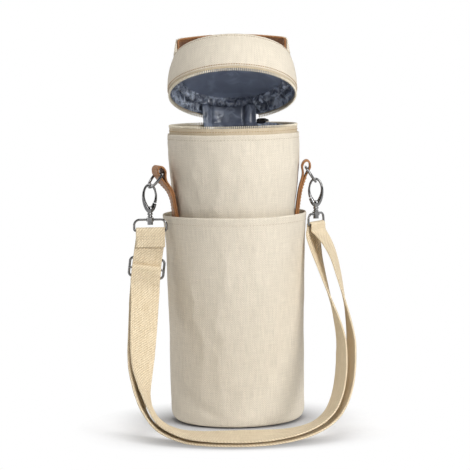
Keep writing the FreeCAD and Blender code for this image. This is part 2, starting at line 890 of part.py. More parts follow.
    spring_x, spring_foot = at(*spring_foot_shares)
    spring_top = neck_foot + length * spring_top_share
    spring_bore = s["spring_radius"] + s["spring_wire"] + s["layer_gap"]
    padded_piece(
        f"hook_{hand}_spring_slot",
        [
            [
                (spring_x - spring_bore, spring_foot - s["layer_gap"]),
                (spring_x + spring_bore, spring_foot - s["layer_gap"]),
                (spring_x + spring_bore, spring_top),
                (spring_x - spring_bore, spring_top),
            ]
        ],
        spring_bore + spring_bore,
        body=hook,
        feature="PartDesign::Pocket",
    )
    place(hook, hook_x, hook_y, hook_z, around)

    gate_back_shares = [(-0.95, 0.395), (-1.0, 0.582), (-0.853, 0.797)]
    gate_front_shares = [(-0.50, 0.797), (-0.634, 0.5966), (-0.45, 0.40)]
    gate_via_shares = [(-1.0, 0.49), (-0.95, 0.70), (-0.595, 0.70), (-0.58, 0.48)]
    g = [at(*p) for p in gate_back_shares + gate_front_shares]
    gv = [at(*p) for p in gate_via_shares]
    heel_shares = [(-0.10, 0.285), (-0.10, 0.235), (-0.61, 0.250), (-0.85, 0.307)]
    heel = [at(*p) for p in heel_shares]
    gate = padded_piece(
        f"gate_{hand}",
        [
            [
                g[0] + (gv[0],),
                g[1] + (gv[1],),
                g[2],
                g[3] + (gv[2],),
                g[4] + (gv[3],),
                g[5],
            ]
            + heel
        ],
        s["gate_thick"],
        circles=[(pin_x, pin_z, s["gate_pin"] + s["running_gap"])],
    )
    place(gate, hook_x, hook_y, hook_z, around)

    pin = padded_piece(f"gate_pin_{hand}", [], s["hook_boss"], circles=[(pin_x, pin_z, s["gate_pin"])])
    place(pin, hook_x, hook_y, hook_z, around)

    spring = doc.addObject("Part::Feature", f"gate_spring_{hand}")
    spring.Label = f"gate_spring_{hand}"
    pitch = s["spring_pitch"].value
    line = Part.makeHelix(pitch, s["spring_height"].value, s["spring_radius"].value)
    start = FreeCAD.Vector(s["spring_radius"].value, 0, 0)
    disc = Part.Wire(Part.makeCircle(s["spring_wire"].value, start, FreeCAD.Vector(0, 1, 0)))
    coil = Part.Wire(line).makePipeShell([disc], True, True)
    spring.Shape = coil
    coil_x = hook_x + spring_x.times(cosine(azimuth))
    coil_y = hook_y + spring_x.times(sine(azimuth))
    place(spring, coil_x, coil_y, hook_z + spring_foot, around)
    handed.append(spring)

# strap ends sewn or turned round the eyes
wrap_in = s["eye_wire"] + s["layer_gap"]
wrap_out = wrap_in + s["strap"]


def wrap_outline(front_drop, back_drop):
    return [
        (-wrap_out, -front_drop),
        (-wrap_out, zero, (zero, wrap_out)),
        (wrap_out, zero),
        (wrap_out, -back_drop),
        (wrap_in, -back_drop),
        (wrap_in, zero, (zero, wrap_in)),
        (-wrap_in, zero),
        (-wrap_in, -front_drop),
    ]


short_leg = s["strap"] + half(s["strap"])
for label, hand, front, back in (
    ("strap_end_left", "left", s["strap_flap"], short_leg),
    ("strap_turn_right", "right", short_leg, short_leg),
):
    x, y, z, azimuth, eye_turn = eye_places[hand]
    flip_turn = Size(180.0, "180") if hand == "left" else zero
    wrap = padded_piece(label, [wrap_outline(front, back)], s["strap_width"], "YZ_Plane")
    place(wrap, x, y, z, [("0; 0; 1", azimuth + eye_turn + flip_turn)])

# strap adjuster: a wire frame behind the strap with a raised bar that holds the sewn strap end
left_x, left_y, left_z = eye_places["left"][:3]
run_in = half(s["strap"]) + s["layer_gap"]
adjuster_x = left_x - s["adjuster_drop"].times(sine(s["adjuster_lean"]))
adjuster_z = left_z - s["adjuster_drop"].times(cosine(s["adjuster_lean"]))


def on_adjuster(piece, y=zero):
    place(piece, adjuster_x, left_y + y, adjuster_z, [("0; 1; 0", s["adjuster_lean"])])
    return piece


wide, rise, corner = s["adjuster_half"], s["adjuster_rise"], s["adjuster_corner"]
bow = corner * (1 - corner_share)
frame_back = run_in + s["adjuster_wire"]
on_adjuster(
    wire_piece(
        "adjuster_frame",
        [
            (zero, -rise),
            (wide - corner, -rise, (wide - bow, -rise + bow)),
            (wide, -rise + corner),
            (wide, rise - corner, (wide - bow, rise - bow)),
            (wide - corner, rise),
            (-wide + corner, rise, (-wide + bow, rise - bow)),
            (-wide, rise - corner),
            (-wide, -rise + corner, (-wide + bow, -rise + bow)),
            (-wide + corner, -rise),
        ],
        s["adjuster_wire"],
        "XZ_Plane",
        "YZ_Plane",
        at=(zero, -rise),
    ),
    frame_back,
)
bar_wrap = s["adjuster_wire"] + s["layer_gap"]
bar_front = run_in + s["strap"] + bar_wrap
bar_corner = s["eye_foot_corner"]
bar_bow = bar_corner * (1 - corner_share)
leg_tip = frame_back - s["adjuster_wire"] - s["layer_gap"] * half_share
bar = wire_piece(
    "adjuster_bar",
    [
        (zero, zero),
        (wide - bar_corner, zero, (wide - bar_bow, bar_bow)),
        (wide, bar_corner),
        (wide, bar_front + leg_tip),
    ],
    s["adjuster_wire"],
    "XY_Plane",
    "YZ_Plane",
    closed=False,
)
wire_piece(
    "adjuster_bar_left",
    [
        (zero, zero),
        (-wide + bar_corner, zero, (-wide + bar_bow, bar_bow)),
        (-wide, bar_corner),
        (-wide, bar_front + leg_tip),
    ],
    s["adjuster_wire"],
    "XY_Plane",
    "YZ_Plane",
    closed=False,
    body=bar,
)
on_adjuster(bar, -bar_front)
fold_out = bar_wrap + s["strap"]
fold = padded_piece(
    "adjuster_fold",
    [
        [
            (-fold_out, -s["fold_flap"]),
            (-fold_out, zero, (zero, fold_out)),
            (fold_out, zero),
            (fold_out, -s["fold_flap"]),
            (bar_wrap, -s["fold_flap"]),
            (bar_wrap, zero, (zero, bar_wrap)),
            (-bar_wrap, zero),
            (-bar_wrap, -s["fold_flap"]),
        ]
    ],
    s["strap_width"],
    "YZ_Plane",
)
on_adjuster(fold, -bar_front)

# strap runs: centre (x, y, z) in shares of strap_span, then the direction across the webbing
run_b_shares = [
    (-0.9338, -0.3925, 1.485, 0.9925, 0.00, -0.12),
    (-0.9345, -0.4080, 1.420, 0.98, 0.08, -0.14),
    (-0.939, -0.480, 1.294, 0.94, 0.27, -0.20),
    (-0.949, -0.630, 1.058, 0.89, 0.35, -0.30),
    (-0.959, -0.820, 0.820, 0.80, 0.45, -0.41),
    (-0.962, -0.980, 0.643, 0.62, 0.60, -0.50),
    (-0.944, -1.100, 0.501, 0.39, 0.75, -0.54),
    (-0.908, -1.190, 0.386, 0.26, 0.83, -0.50),
    (-0.845, -1.270, 0.269, 0.28, 0.84, -0.45),
    (-0.713, -1.390, 0.150, 0.42, 0.88, -0.22),
    (-0.475, -1.520, 0.096, 0.35, 0.93, 0.05),
    (-0.210, -1.610, 0.095, 0.20, 0.96, 0.18),
    (0.050, -1.640, 0.097, 0.00, 0.97, 0.22),
    (0.287, -1.610, 0.098, -0.20, 0.96, 0.17),
    (0.553, -1.530, 0.114, -0.32, 0.94, 0.02),
    (0.754, -1.440, 0.165, -0.42, 0.90, -0.14),
    (0.877, -1.350, 0.238, -0.48, 0.82, -0.30),
    (0.952, -1.260, 0.326, -0.47, 0.77, -0.43),
    (1.008, -1.150, 0.455, -0.42, 0.77, -0.49),
    (1.044, -1.020, 0.624, -0.37, 0.77, -0.53),
    (1.058, -0.850, 0.853, -0.28, 0.76, -0.59),
    (1.038, -0.700, 1.027, -0.08, 0.77, -0.63),
    (0.980, -0.530, 1.247, 0.12, 0.80, -0.58),
    (0.925, -0.380, 1.436, 0.25, 0.81, -0.54),
    (0.884, -0.270, 1.580, 0.32, 0.83, -0.46),
    (0.836, -0.130, 1.756, 0.42, 0.85, -0.34),
    (0.817, -0.030, 1.875, 0.48, 0.87, -0.15),
    (0.828, 0.0100, 1.955, 0.50, 0.866, 0.00),
    (0.829, 0.0125, 1.990, 0.50, 0.866, 0.00),
]
run_a_shares = [
    (-0.8720, -0.2925, 1.980, 1.00, 0.00, 0.00),
    (-0.8725, -0.2980, 1.950, 1.00, 0.00, 0.00),
    (-0.8840, -0.3165, 1.870, 1.00, 0.00, -0.12),
    (-0.8990, -0.3170, 1.780, 1.00, 0.00, -0.12),
    (-0.9190, -0.3170, 1.650, 1.00, 0.00, -0.12),
    (-0.9360, -0.3172, 1.500, 1.00, 0.00, -0.12),
    (-0.9440, -0.3390, 1.400, 0.98, 0.12, -0.15),
    (-0.9540, -0.4250, 1.272, 0.94, 0.27, -0.20),
    (-0.972, -0.5930, 1.033, 0.89, 0.35, -0.30),
    (-0.989, -0.7890, 0.795, 0.80, 0.45, -0.41),
    (-1.001, -0.9570, 0.621, 0.62, 0.60, -0.50),
    (-0.997, -1.0870, 0.480, 0.39, 0.75, -0.54),
    (-0.970, -1.1870, 0.357, 0.26, 0.83, -0.50),
    (-0.900, -1.2750, 0.227, 0.28, 0.84, -0.45),
    (-0.738, -1.3920, 0.103, 0.42, 0.88, -0.20),
    (-0.478, -1.5160, 0.046, 0.35, 0.93, 0.05),
    (-0.207, -1.6050, 0.048, 0.20, 0.97, 0.14),
    (0.051, -1.6350, 0.050, 0.00, 0.98, 0.16),
    (0.287, -1.6050, 0.050, -0.20, 0.97, 0.13),
    (0.560, -1.5270, 0.066, -0.32, 0.94, 0.02),
    (0.776, -1.4390, 0.112, -0.42, 0.90, -0.14),
    (0.920, -1.3450, 0.182, -0.48, 0.82, -0.30),
    (1.013, -1.2480, 0.278, -0.47, 0.77, -0.43),
    (1.084, -1.1320, 0.416, -0.42, 0.77, -0.49),
    (1.130, -0.9990, 0.596, -0.37, 0.77, -0.53),
    (1.157, -0.8270, 0.834, -0.28, 0.76, -0.59),
    (1.147, -0.6830, 1.035, -0.08, 0.77, -0.63),
    (1.110, -0.5270, 1.278, 0.12, 0.80, -0.58),
    (1.068, -0.3920, 1.483, 0.25, 0.81, -0.54),
    (1.036, -0.2820, 1.639, 0.32, 0.83, -0.46),
    (0.982, -0.1600, 1.790, 0.42, 0.85, -0.30),
    (0.920, -0.0600, 1.900, 0.48, 0.87, -0.12),
    (0.874, -0.0150, 1.960, 0.50, 0.866, 0.00),
    (0.871, -0.0125, 1.990, 0.50, 0.866, 0.00),
]


steps_per_row = 3


def strap_run(label, shares):
    span = sheet.get("strap_span")
    rows = [[v * span for v in row[:3]] for row in shares]
    centres = [FreeCAD.Vector(*row) for row in rows]
    rails = [[], [], [], []]
    for i, centre in enumerate(centres):
        along = centres[min(i + 1, len(centres) - 1)] - centres[max(i - 1, 0)]
        along.normalize()
        across = FreeCAD.Vector(*shares[i][3:])
        across = across - along * across.dot(along)
        across.normalize()
        face = along.cross(across)
        side = across * (sheet.get("strap_width") / 2)
        lift = face * (sheet.get("strap") / 2)
        for rail, corner in zip(rails, (side + lift, lift - side, -side - lift, side - lift)):
            rail.append(centre + corner)
    marks = [float(i) for i in range(len(centres))]
    stops = [i + step / steps_per_row for i in marks[:-1] for step in range(steps_per_row)] + marks[-1:]
    lines = []
    for rail in rails:
        curve = Part.BSplineCurve()
        curve.interpolate(Points=rail, Parameters=marks)
        lines.append([curve.value(stop) for stop in stops])
    sections = [Part.makePolygon(corners + corners[:1]) for corners in map(list, zip(*lines))]
    solid = Part.makeLoft(sections, True, True)
    run = doc.addObject("Part::Feature", label)
    run.Label = label
    run.Shape = solid
    handed.append(run)
    length = sum(a.distanceToPoint(b) for a, b in zip(centres, centres[1:]))
    print(f"{label}: {length:.0f} mm along its centre, {solid.Volume:.0f} mm3")


strap_run("strap_run_b", run_b_shares)
strap_run("strap_run_a", run_a_shares)

doc.recompute()
faulty = [
    piece.Label
    for piece in doc.Objects
    if any(word in ("Invalid", "Error") for word in piece.State)
]
faulty += [piece.Label for piece in handed if piece.Shape.isNull() or not piece.Shape.isValid()]
if faulty:
    raise SystemExit(f"not valid: {faulty}")

os.makedirs("parts", exist_ok=True)
for piece in handed:
    solids = len(piece.Shape.Solids)
    print(f"{piece.Label}: {piece.Shape.Volume:.1f} mm3 in {solids} solid")
    piece.Shape.exportStep(os.path.join("parts", f"{piece.Label}.step"))
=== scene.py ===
from functools import partial
from math import atan2, copysign, cos, degrees, exp, pi, radians, sin, sqrt, tau

import bpy
import numpy as np
from mathutils import Matrix, Vector, noise
from mathutils.bvhtree import BVHTree


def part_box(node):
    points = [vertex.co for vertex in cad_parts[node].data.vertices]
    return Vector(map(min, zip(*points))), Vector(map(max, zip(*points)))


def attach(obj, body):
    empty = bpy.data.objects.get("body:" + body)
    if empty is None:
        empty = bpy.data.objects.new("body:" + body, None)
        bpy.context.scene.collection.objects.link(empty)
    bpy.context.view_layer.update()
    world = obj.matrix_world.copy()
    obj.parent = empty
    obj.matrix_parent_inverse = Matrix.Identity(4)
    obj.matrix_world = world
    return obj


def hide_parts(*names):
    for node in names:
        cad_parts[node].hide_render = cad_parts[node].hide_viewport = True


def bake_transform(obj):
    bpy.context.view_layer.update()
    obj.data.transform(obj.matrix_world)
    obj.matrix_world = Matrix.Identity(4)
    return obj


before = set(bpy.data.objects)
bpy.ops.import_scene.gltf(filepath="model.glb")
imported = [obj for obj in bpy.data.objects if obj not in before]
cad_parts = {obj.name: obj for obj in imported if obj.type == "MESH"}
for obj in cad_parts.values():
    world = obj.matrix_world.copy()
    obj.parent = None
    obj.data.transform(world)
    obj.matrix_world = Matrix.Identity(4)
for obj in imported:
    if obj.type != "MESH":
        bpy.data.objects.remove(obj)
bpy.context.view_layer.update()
scene = bpy.context.scene
mm = 0.001
print("frame loaded:", len(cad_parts), "nodes")

# camera, as far and as high as the picture was taken from
view = {"place": (0, -2.25, 0.396), "pitch": -5.152, "roll": -1.0, "lens": 165.4, "sensor": 36, "reach": 50}
camera = bpy.data.objects.new("photoCamera", bpy.data.cameras.new("photoCamera"))
scene.collection.objects.link(camera)
camera.data.lens = view["lens"]
camera.data.sensor_width = view["sensor"]
camera.data.clip_end = view["reach"]
camera.matrix_world = (
    Matrix.Translation(view["place"])
    @ Matrix.Rotation(radians(90 + view["pitch"]), 4, "X")
    @ Matrix.Rotation(radians(view["roll"]), 4, "Z")
)
scene.camera = camera
scene.view_settings.view_transform = "Standard"


# small node helpers: an input takes another node's output or a plain value
def setInputs(tree, node, inputs):
    for key, value in inputs.items():
        if isinstance(value, bpy.types.NodeSocket):
            tree.links.new(value, node.inputs[key])
        else:
            node.inputs[key].default_value = value
    return node


def addNode(tree, kind, inputs=None, **settings):
    node = tree.nodes.new("ShaderNode" + kind)
    for key, value in settings.items():
        setattr(node, key, value)
    return setInputs(tree, node, inputs or {})


def mathNode(tree, operation, a, b=0.0, c=0.0):
    return addNode(tree, "Math", {0: a, 1: b, 2: c}, operation=operation).outputs[0]


def sumNode(tree, a, shareOfA, b, shareOfB):
    return mathNode(tree, "MULTIPLY_ADD", a, shareOfA, mathNode(tree, "MULTIPLY", b, shareOfB))


def noiseNode(tree, place, scale, detail, distortion=0.0):
    inputs = {"Vector": place, "Scale": scale, "Detail": detail, "Distortion": distortion}
    return addNode(tree, "TexNoise", inputs).outputs["Fac"]


def rangeNode(tree, value, low, high):
    return addNode(tree, "MapRange", {"Value": value, "From Min": low, "From Max": high}).outputs["Result"]


def mixNode(tree, factor, first, second):
    return addNode(tree, "MixShader", {"Fac": factor, 1: first, 2: second}).outputs[0]


def lightNode(tree, kind, colour, strength=1.0):
    return addNode(tree, kind, {"Color": colour, "Strength": strength}).outputs[0]


def rampNode(tree, factor, stops):
    ramp = addNode(tree, "ValToRGB", {"Fac": factor})
    ends = ramp.color_ramp.elements
    ends[0].position, ends[0].color = stops[0][0], stops[0][1] + (1,)
    ends[1].position, ends[1].color = stops[-1][0], stops[-1][1] + (1,)
    for place, colour in stops[1:-1]:
        ends.new(place).color = colour + (1,)
    return ramp.outputs["Color"]


# inputs are numbers, or None for a place. Every output is a number
def newGroup(name, inputs, outputs):
    group = bpy.data.node_groups.new(name, "ShaderNodeTree")
    for label, value in inputs.items():
        kind = "NodeSocketVector" if value is None else "NodeSocketFloat"
        socket = group.interface.new_socket(label, in_out="INPUT", socket_type=kind)
        if value is not None:
            socket.default_value = value
    for label in outputs:
        group.interface.new_socket(label, in_out="OUTPUT", socket_type="NodeSocketFloat")
    return group, group.nodes.new("NodeGroupInput").outputs, group.nodes.new("NodeGroupOutput")


def useGroup(tree, group, values):
    return addNode(tree, "Group", values, node_tree=group).outputs


def newMaterial(name):
    material = bpy.data.materials.new(name)
    material.use_nodes = True
    return material, material.node_tree, material.node_tree.nodes["Principled BSDF"]


def bumpNode(tree, height, strength, distance):
    inputs = {"Height": height, "Strength": strength, "Distance": distance}
    return addNode(tree, "Bump", inputs).outputs["Normal"]


# a material with the marks of one group, whose roughness follows one of the group's outputs
def markedMaterial(name, group, stops, rough, relief=None, values=None, plain=None):
    material, tree, shader = newMaterial(name)
    place = addNode(tree, "TexCoord").outputs["Object"]
    marks = useGroup(tree, group, {"Place": place, **(values or {})})
    source, share, base = rough
    setInputs(tree, shader, {
        "Base Color": rampNode(tree, marks["Tone"], stops),
        "Roughness": mathNode(tree, "MULTIPLY_ADD", marks[source], share, base), **(plain or {}),
    })
    if relief:
        setInputs(tree, shader, {"Normal": bumpNode(tree, marks["Height"], *relief)})
    return material


# studio: a white backdrop behind, the unlit room in front and to both sides
studio = {"ambient": 0.22, "room": 0.05, "roomFrom": -0.45, "roomTo": 0.15, "sideFrom": 0.7, "sideTo": 0.92}
white = (1, 1, 1, 1)
scene.world = bpy.data.worlds.new("studio")
scene.world.use_nodes = True
tree = scene.world.node_tree
way = addNode(tree, "TexCoord").outputs["Generated"]
wayParts = addNode(tree, "SeparateXYZ", {0: way}).outputs
behind = rangeNode(tree, wayParts["Y"], studio["roomFrom"], studio["roomTo"])
sideways = mathNode(tree, "ABSOLUTE", wayParts["X"])
between = rangeNode(tree, sideways, studio["sideTo"], studio["sideFrom"])
wall = mathNode(tree, "MULTIPLY", behind, between)
wallTone = rampNode(tree, wall, [(0.0, (studio["room"],) * 3), (1.0, white[:3])])
ambient = setInputs(tree, tree.nodes["Background"], {"Color": white, "Strength": studio["ambient"]})
mirrored = lightNode(tree, "Background", wallTone)
seen = lightNode(tree, "Background", white)
path = addNode(tree, "LightPath").outputs
glossyMix = mixNode(tree, path["Is Glossy Ray"], ambient.outputs[0], mirrored)
straight = mathNode(tree, "MAXIMUM", path["Is Camera Ray"], path["Is Transmission Ray"])
tree.links.new(mixNode(tree, straight, glossyMix, seen), tree.nodes["World Output"].inputs["Surface"])

# lamps: place and size in metres, power in watts
softboxes = {
    "keyBox": {"place": (1.45, -1.6, 1.05), "size": (0.8, 1.2), "power": 34},
    "fillBox": {"place": (-1.9, 0.25, 0.6), "size": (0.8, 1.2), "power": 7},
    "topBox": {"place": (0.1, -0.7, 2.0), "size": (1.0, 1.0), "power": 14},
    "rimBox": {"place": (1.4, 1.1, 0.9), "size": (0.7, 1.2), "power": 2},
}
lampAim = Vector((0, 0, 0.2))
for name, box in softboxes.items():
    lamp = bpy.data.objects.new(name, bpy.data.lights.new(name, "AREA"))
    scene.collection.objects.link(lamp)
    lamp.data.shape = "RECTANGLE"
    lamp.data.size, lamp.data.size_y = box["size"]
    lamp.data.energy = box["power"]
    lamp.location = box["place"]
    lamp.rotation_euler = (lampAim - Vector(box["place"])).to_track_quat("-Z", "Y").to_euler()

# floor: takes the lamps' shadow close to the carrier, has a painted contact shadow where they touch (the contact
# colour, mixed in by ambient occlusion), and runs out to white
floorLook = {
    "colour": (0.93, 0.93, 0.94, 1), "roughness": 0.85, "shine": 0.1, "glow": 0.22, "nearEdge": 0.085, "farEdge": 0.17,
    "contact": (0.26, 0.26, 0.28, 1), "contactReach": 0.07, "contactFall": 2.0, "contactRays": 12,
    "half": 15, "place": (0, -0.05, -0.0003),
}
floorMaterial, tree, shader = newMaterial("floor")
setInputs(tree, shader, {"Base Color": floorLook["colour"], "Roughness": floorLook["roughness"],
                         "Specular IOR Level": floorLook["shine"]})
spot = addNode(tree, "TexCoord").outputs["Object"]
reach = addNode(tree, "VectorMath", {0: spot}, operation="LENGTH").outputs["Value"]
away = rangeNode(tree, reach, floorLook["nearEdge"], floorLook["farEdge"])
glow = lightNode(tree, "Emission", white, floorLook["glow"])
lit = addNode(tree, "AddShader", {0: shader.outputs[0], 1: glow}).outputs[0]
# painted contact shadow: for camera and glossy rays a dark diffuse takes over where ambient occlusion finds the carrier
# near
paintedContactShadow = addNode(tree, "BsdfDiffuse", {"Color": floorLook["contact"]}).outputs[0]
sky = addNode(tree, "AmbientOcclusion", {"Distance": floorLook["contactReach"]},
              samples=floorLook["contactRays"]).outputs["AO"]
openness = mathNode(tree, "POWER", sky, floorLook["contactFall"])
fade = mixNode(tree, away, mixNode(tree, openness, paintedContactShadow, lit), lightNode(tree, "Emission", white))
path = addNode(tree, "LightPath").outputs
seenRay = mathNode(tree, "MAXIMUM", path["Is Camera Ray"], path["Is Glossy Ray"])
floorMix = mixNode(tree, seenRay, shader.outputs[0], fade)
tree.links.new(floorMix, tree.nodes["Material Output"].inputs["Surface"])
half = floorLook["half"]
floorMesh = bpy.data.meshes.new("studioFloor")
floorMesh.from_pydata([(-half, -half, 0), (half, -half, 0), (half, half, 0), (-half, half, 0)], [], [(0, 1, 2, 3)])
floorMesh.materials.append(floorMaterial)
floor = bpy.data.objects.new("studioFloor", floorMesh)
floor.location = floorLook["place"]
scene.collection.objects.link(floor)
print("studio set")

# woven cloth: a twill that turns back at each column, with uneven yarns both ways
weaveGroup, put, out = newGroup(
    "twillWeave", {"Across": 0.0, "Along": 0.0, "Column": 0.006, "Pitch": 0.002, "Yarn": 0.001, "Twill": 0.5},
    ("Height", "Tone"),
)
weaveMath = partial(mathNode, weaveGroup)
lean = weaveMath("PINGPONG", put["Across"], put["Column"])
phase = weaveMath("DIVIDE", weaveMath("ADD", put["Along"], lean), put["Pitch"])
twill = weaveMath("SINE", weaveMath("MULTIPLY", phase, tau))
twill = weaveMath("MULTIPLY_ADD", twill, 0.5, 0.5)
yarnTurn = weaveMath("DIVIDE", put["Across"], put["Yarn"])
yarn = weaveMath("SINE", weaveMath("MULTIPLY", yarnTurn, pi))
yarn = weaveMath("ABSOLUTE", yarn)


def yarnNoise(acrossRate, alongRate):
    across = weaveMath("MULTIPLY", put["Across"], acrossRate)
    along = weaveMath("MULTIPLY", put["Along"], alongRate)
    spot = addNode(weaveGroup, "CombineXYZ", {0: across, 1: along}).outputs[0]
    return noiseNode(weaveGroup, spot, 1.0, 2.0)


slub = sumNode(weaveGroup, yarnNoise(700.0, 60.0), 0.6, yarnNoise(60.0, 900.0), 0.4)
weaveHeight = sumNode(weaveGroup, yarn, 0.35, twill, put["Twill"])
weaveTone = sumNode(weaveGroup, slub, 0.7, weaveHeight, 0.45)
setInputs(weaveGroup, out, {"Height": weaveHeight, "Tone": weaveTone})


def wovenMaterial(name, dark, light, column, pitch, yarn, twill, bump, flat=False):
    material, tree, shader = newMaterial(name)
    place = addNode(tree, "TexCoord").outputs["Object"]
    cloth = place if flat else addNode(tree, "UVMap", uv_map="cloth").outputs["UV"]
    parts = addNode(tree, "SeparateXYZ", {0: cloth}).outputs
    weave = useGroup(tree, weaveGroup, {"Across": parts["X"], "Along": parts["Y"], "Column": column,
                                        "Pitch": pitch, "Yarn": yarn, "Twill": twill})
    tone = mathNode(tree, "MULTIPLY_ADD", noiseNode(tree, place, 26.0, 3.0), 0.12, weave["Tone"])
    setInputs(tree, shader, {
        "Base Color": rampNode(tree, tone, [(0.3, dark), (0.9, light)]),
        "Roughness": mathNode(tree, "MULTIPLY_ADD", weave["Tone"], -0.15, 0.95),
        "Sheen Weight": 0.08, "Specular IOR Level": 0.15, "Normal": bumpNode(tree, weave["Height"], 0.7, bump),
    })
    return material


canvasLook = {"dark": (0.58, 0.52, 0.42), "light": (0.89, 0.81, 0.675), "column": 0.0062, "pitch": 0.0023,
              "yarn": 0.0011, "twill": 0.5, "bump": 0.0004}
canvas = wovenMaterial("canvas", **canvasLook)
flatCanvas = wovenMaterial("flatCanvas", **canvasLook, flat=True)
webbing = wovenMaterial("webbing", (0.52, 0.395, 0.235), (0.93, 0.80, 0.585),
                        column=0.5, pitch=0.0030, yarn=0.0015, twill=0.6, bump=0.0005)
tapeCloth = wovenMaterial("zipTape", (0.46, 0.37, 0.25), (0.74, 0.63, 0.46),
                          column=0.004, pitch=0.0016, yarn=0.0010, twill=0.4, bump=0.0003)

# leather: pores and a cloudy dye
grainGroup, put, out = newGroup("leatherGrain", {"Place": None, "Pores": 800.0, "Cloud": 70.0}, ("Height", "Tone"))
pores = addNode(grainGroup, "TexVoronoi", {"Vector": put["Place"], "Scale": put["Pores"]},
                feature="DISTANCE_TO_EDGE").outputs["Distance"]
cloud = noiseNode(grainGroup, put["Place"], put["Cloud"], 4.0)
setInputs(grainGroup, out, {"Height": pores, "Tone": mathNode(grainGroup, "MULTIPLY_ADD", pores, 0.35, cloud)})


def leatherMaterial(name, dark, light, roughness):
    return markedMaterial(name, grainGroup, [(0.3, dark), (0.85, light)], ("Tone", 0.2, roughness), (0.5, 0.0004))


tanLeather = leatherMaterial("tanLeather", (0.23, 0.095, 0.03), (0.44, 0.195, 0.068), roughness=0.42)
darkLeather = leatherMaterial("darkLeather", (0.016, 0.011, 0.008), (0.05, 0.035, 0.025), roughness=0.36)

# metal: fine wiping marks and a little tarnish
polishGroup, put, out = newGroup("polishMarks", {"Place": None, "Marks": 300.0}, ("Height", "Tone"))
marks = noiseNode(polishGroup, put["Place"], put["Marks"], 4.0)
tarnish = noiseNode(polishGroup, put["Place"], 90.0, 2.0)
setInputs(polishGroup, out, {"Height": marks, "Tone": sumNode(polishGroup, marks, 0.4, tarnish, 0.6)})


def metalMaterial(name, dark, light, roughness):
    return markedMaterial(name, polishGroup, [(0.3, dark), (0.7, light)], ("Tone", 0.14, roughness), (0.12, 0.0003),
                          plain={"Metallic": 1.0})


nickel = metalMaterial("darkNickel", (0.13, 0.13, 0.135), (0.30, 0.295, 0.29), roughness=0.07)
gunMetal = metalMaterial("gunMetal", (0.05, 0.05, 0.05), (0.12, 0.115, 0.11), roughness=0.16)

# thread: twisted ply
twistGroup, put, out = newGroup("threadTwist", {"Place": None}, ("Tone",))
twist = noiseNode(twistGroup, put["Place"], 1500.0, 2.0)
fuzz = noiseNode(twistGroup, put["Place"], 240.0, 1.0)
setInputs(twistGroup, out, {"Tone": sumNode(twistGroup, twist, 0.6, fuzz, 0.4)})


def threadMaterial(name, dark, light, roughness=0.75):
    return markedMaterial(name, twistGroup, [(0.3, dark), (0.7, light)], ("Tone", 0.2, roughness))


creamThread = threadMaterial("creamThread", (0.42, 0.35, 0.25), (0.66, 0.57, 0.43))
tanThread = threadMaterial("tanThread", (0.26, 0.13, 0.035), (0.44, 0.25, 0.08))
coilNylon = threadMaterial("coilNylon", (0.66, 0.58, 0.44), (0.90, 0.83, 0.68), roughness=0.4)

# lining: thin coated cloth, crushed where it is gathered, with painted highlights on its crease ridges and painted
# shade in its crease hollows
crushGroup, put, out = newGroup(
    "crushedCloth", {"Place": None, "Folds": 60.0, "Fine": 1500.0}, ("Height", "Tone", "Rib"),
)
crushMath = partial(mathNode, crushGroup)


def creaseNode(scale, sharp):
    size = crushMath("MULTIPLY", put["Folds"], scale)
    field = noiseNode(crushGroup, put["Place"], size, 1.5, 0.8)
    off = crushMath("ABSOLUTE", crushMath("SUBTRACT", field, 0.5))
    fall = crushMath("MINIMUM", crushMath("MULTIPLY", off, sharp), 1.0)
    return crushMath("SUBTRACT", 1.0, fall)


creaseReliefAndShade = sumNode(crushGroup, creaseNode(2.3, 7.0), 0.45, creaseNode(1.0, 8.0), 0.65)
broad = noiseNode(crushGroup, put["Place"], crushMath("MULTIPLY", put["Folds"], 0.4), 1.0)
rib = noiseNode(crushGroup, put["Place"], put["Fine"], 1.0)
# the crease field shapes the bump and also sets the tone: painted highlight on the ridges, painted shade in the hollows
setInputs(crushGroup, out, {"Height": sumNode(crushGroup, broad, 0.8, creaseReliefAndShade, 0.4),
                            "Tone": crushMath("MULTIPLY_ADD", rib, 0.12, creaseReliefAndShade), "Rib": rib})


def liningMaterial(name, dark, light, folds, depth, roughness, shine):
    middle = tuple(d * 0.72 + l * 0.28 for d, l in zip(dark, light))
    return markedMaterial(name, crushGroup, [(0.1, dark), (0.55, middle), (1.0, light)], ("Rib", 0.14, roughness),
                          (0.9, depth), {"Folds": folds}, {"Specular IOR Level": shine})


# crushed lining: near-white painted highlights on the ridges; the flap and the smooth lining get the same painted light
# and shade, weaker
crushedLining = liningMaterial("crushedLining", (0.11, 0.13, 0.185), (0.72, 0.80, 0.94),
                               folds=58.0, depth=0.0030, roughness=0.16, shine=1.0)
flapLining = liningMaterial("flapLining", (0.13, 0.15, 0.205), (0.31, 0.355, 0.455),
                            folds=34.0, depth=0.0018, roughness=0.26, shine=0.8)
smoothLining = liningMaterial("smoothLining", (0.235, 0.272, 0.365), (0.325, 0.373, 0.488),
                              folds=22.0, depth=0.0014, roughness=0.36, shine=0.6)
print("materials ready")


# mesh helpers: pieces are laid out in mm and stored in metres
def meshPiece(name, points, faces, material, uvs=None, body=None, replaced=(), slot=None):
    mesh = bpy.data.meshes.new(name)
    mesh.from_pydata((np.asarray(points, float) * mm).tolist(), [], faces)
    if uvs is not None:
        layer = mesh.uv_layers.new(name="cloth")
        corners = np.zeros(len(mesh.loops), int)
        mesh.loops.foreach_get("vertex_index", corners)
        layer.data.foreach_set("uv", (np.asarray(uvs)[corners] * mm).ravel().astype(np.float32))
    mesh.materials.append(material)
    mesh.polygons.foreach_set("use_smooth", [len(face) == 4 for face in faces])
    mesh.update()
    piece = bpy.data.objects.new(name, mesh)
    scene.collection.objects.link(piece)
    if body:
        settle(piece, body, replaced, slot)
    return piece


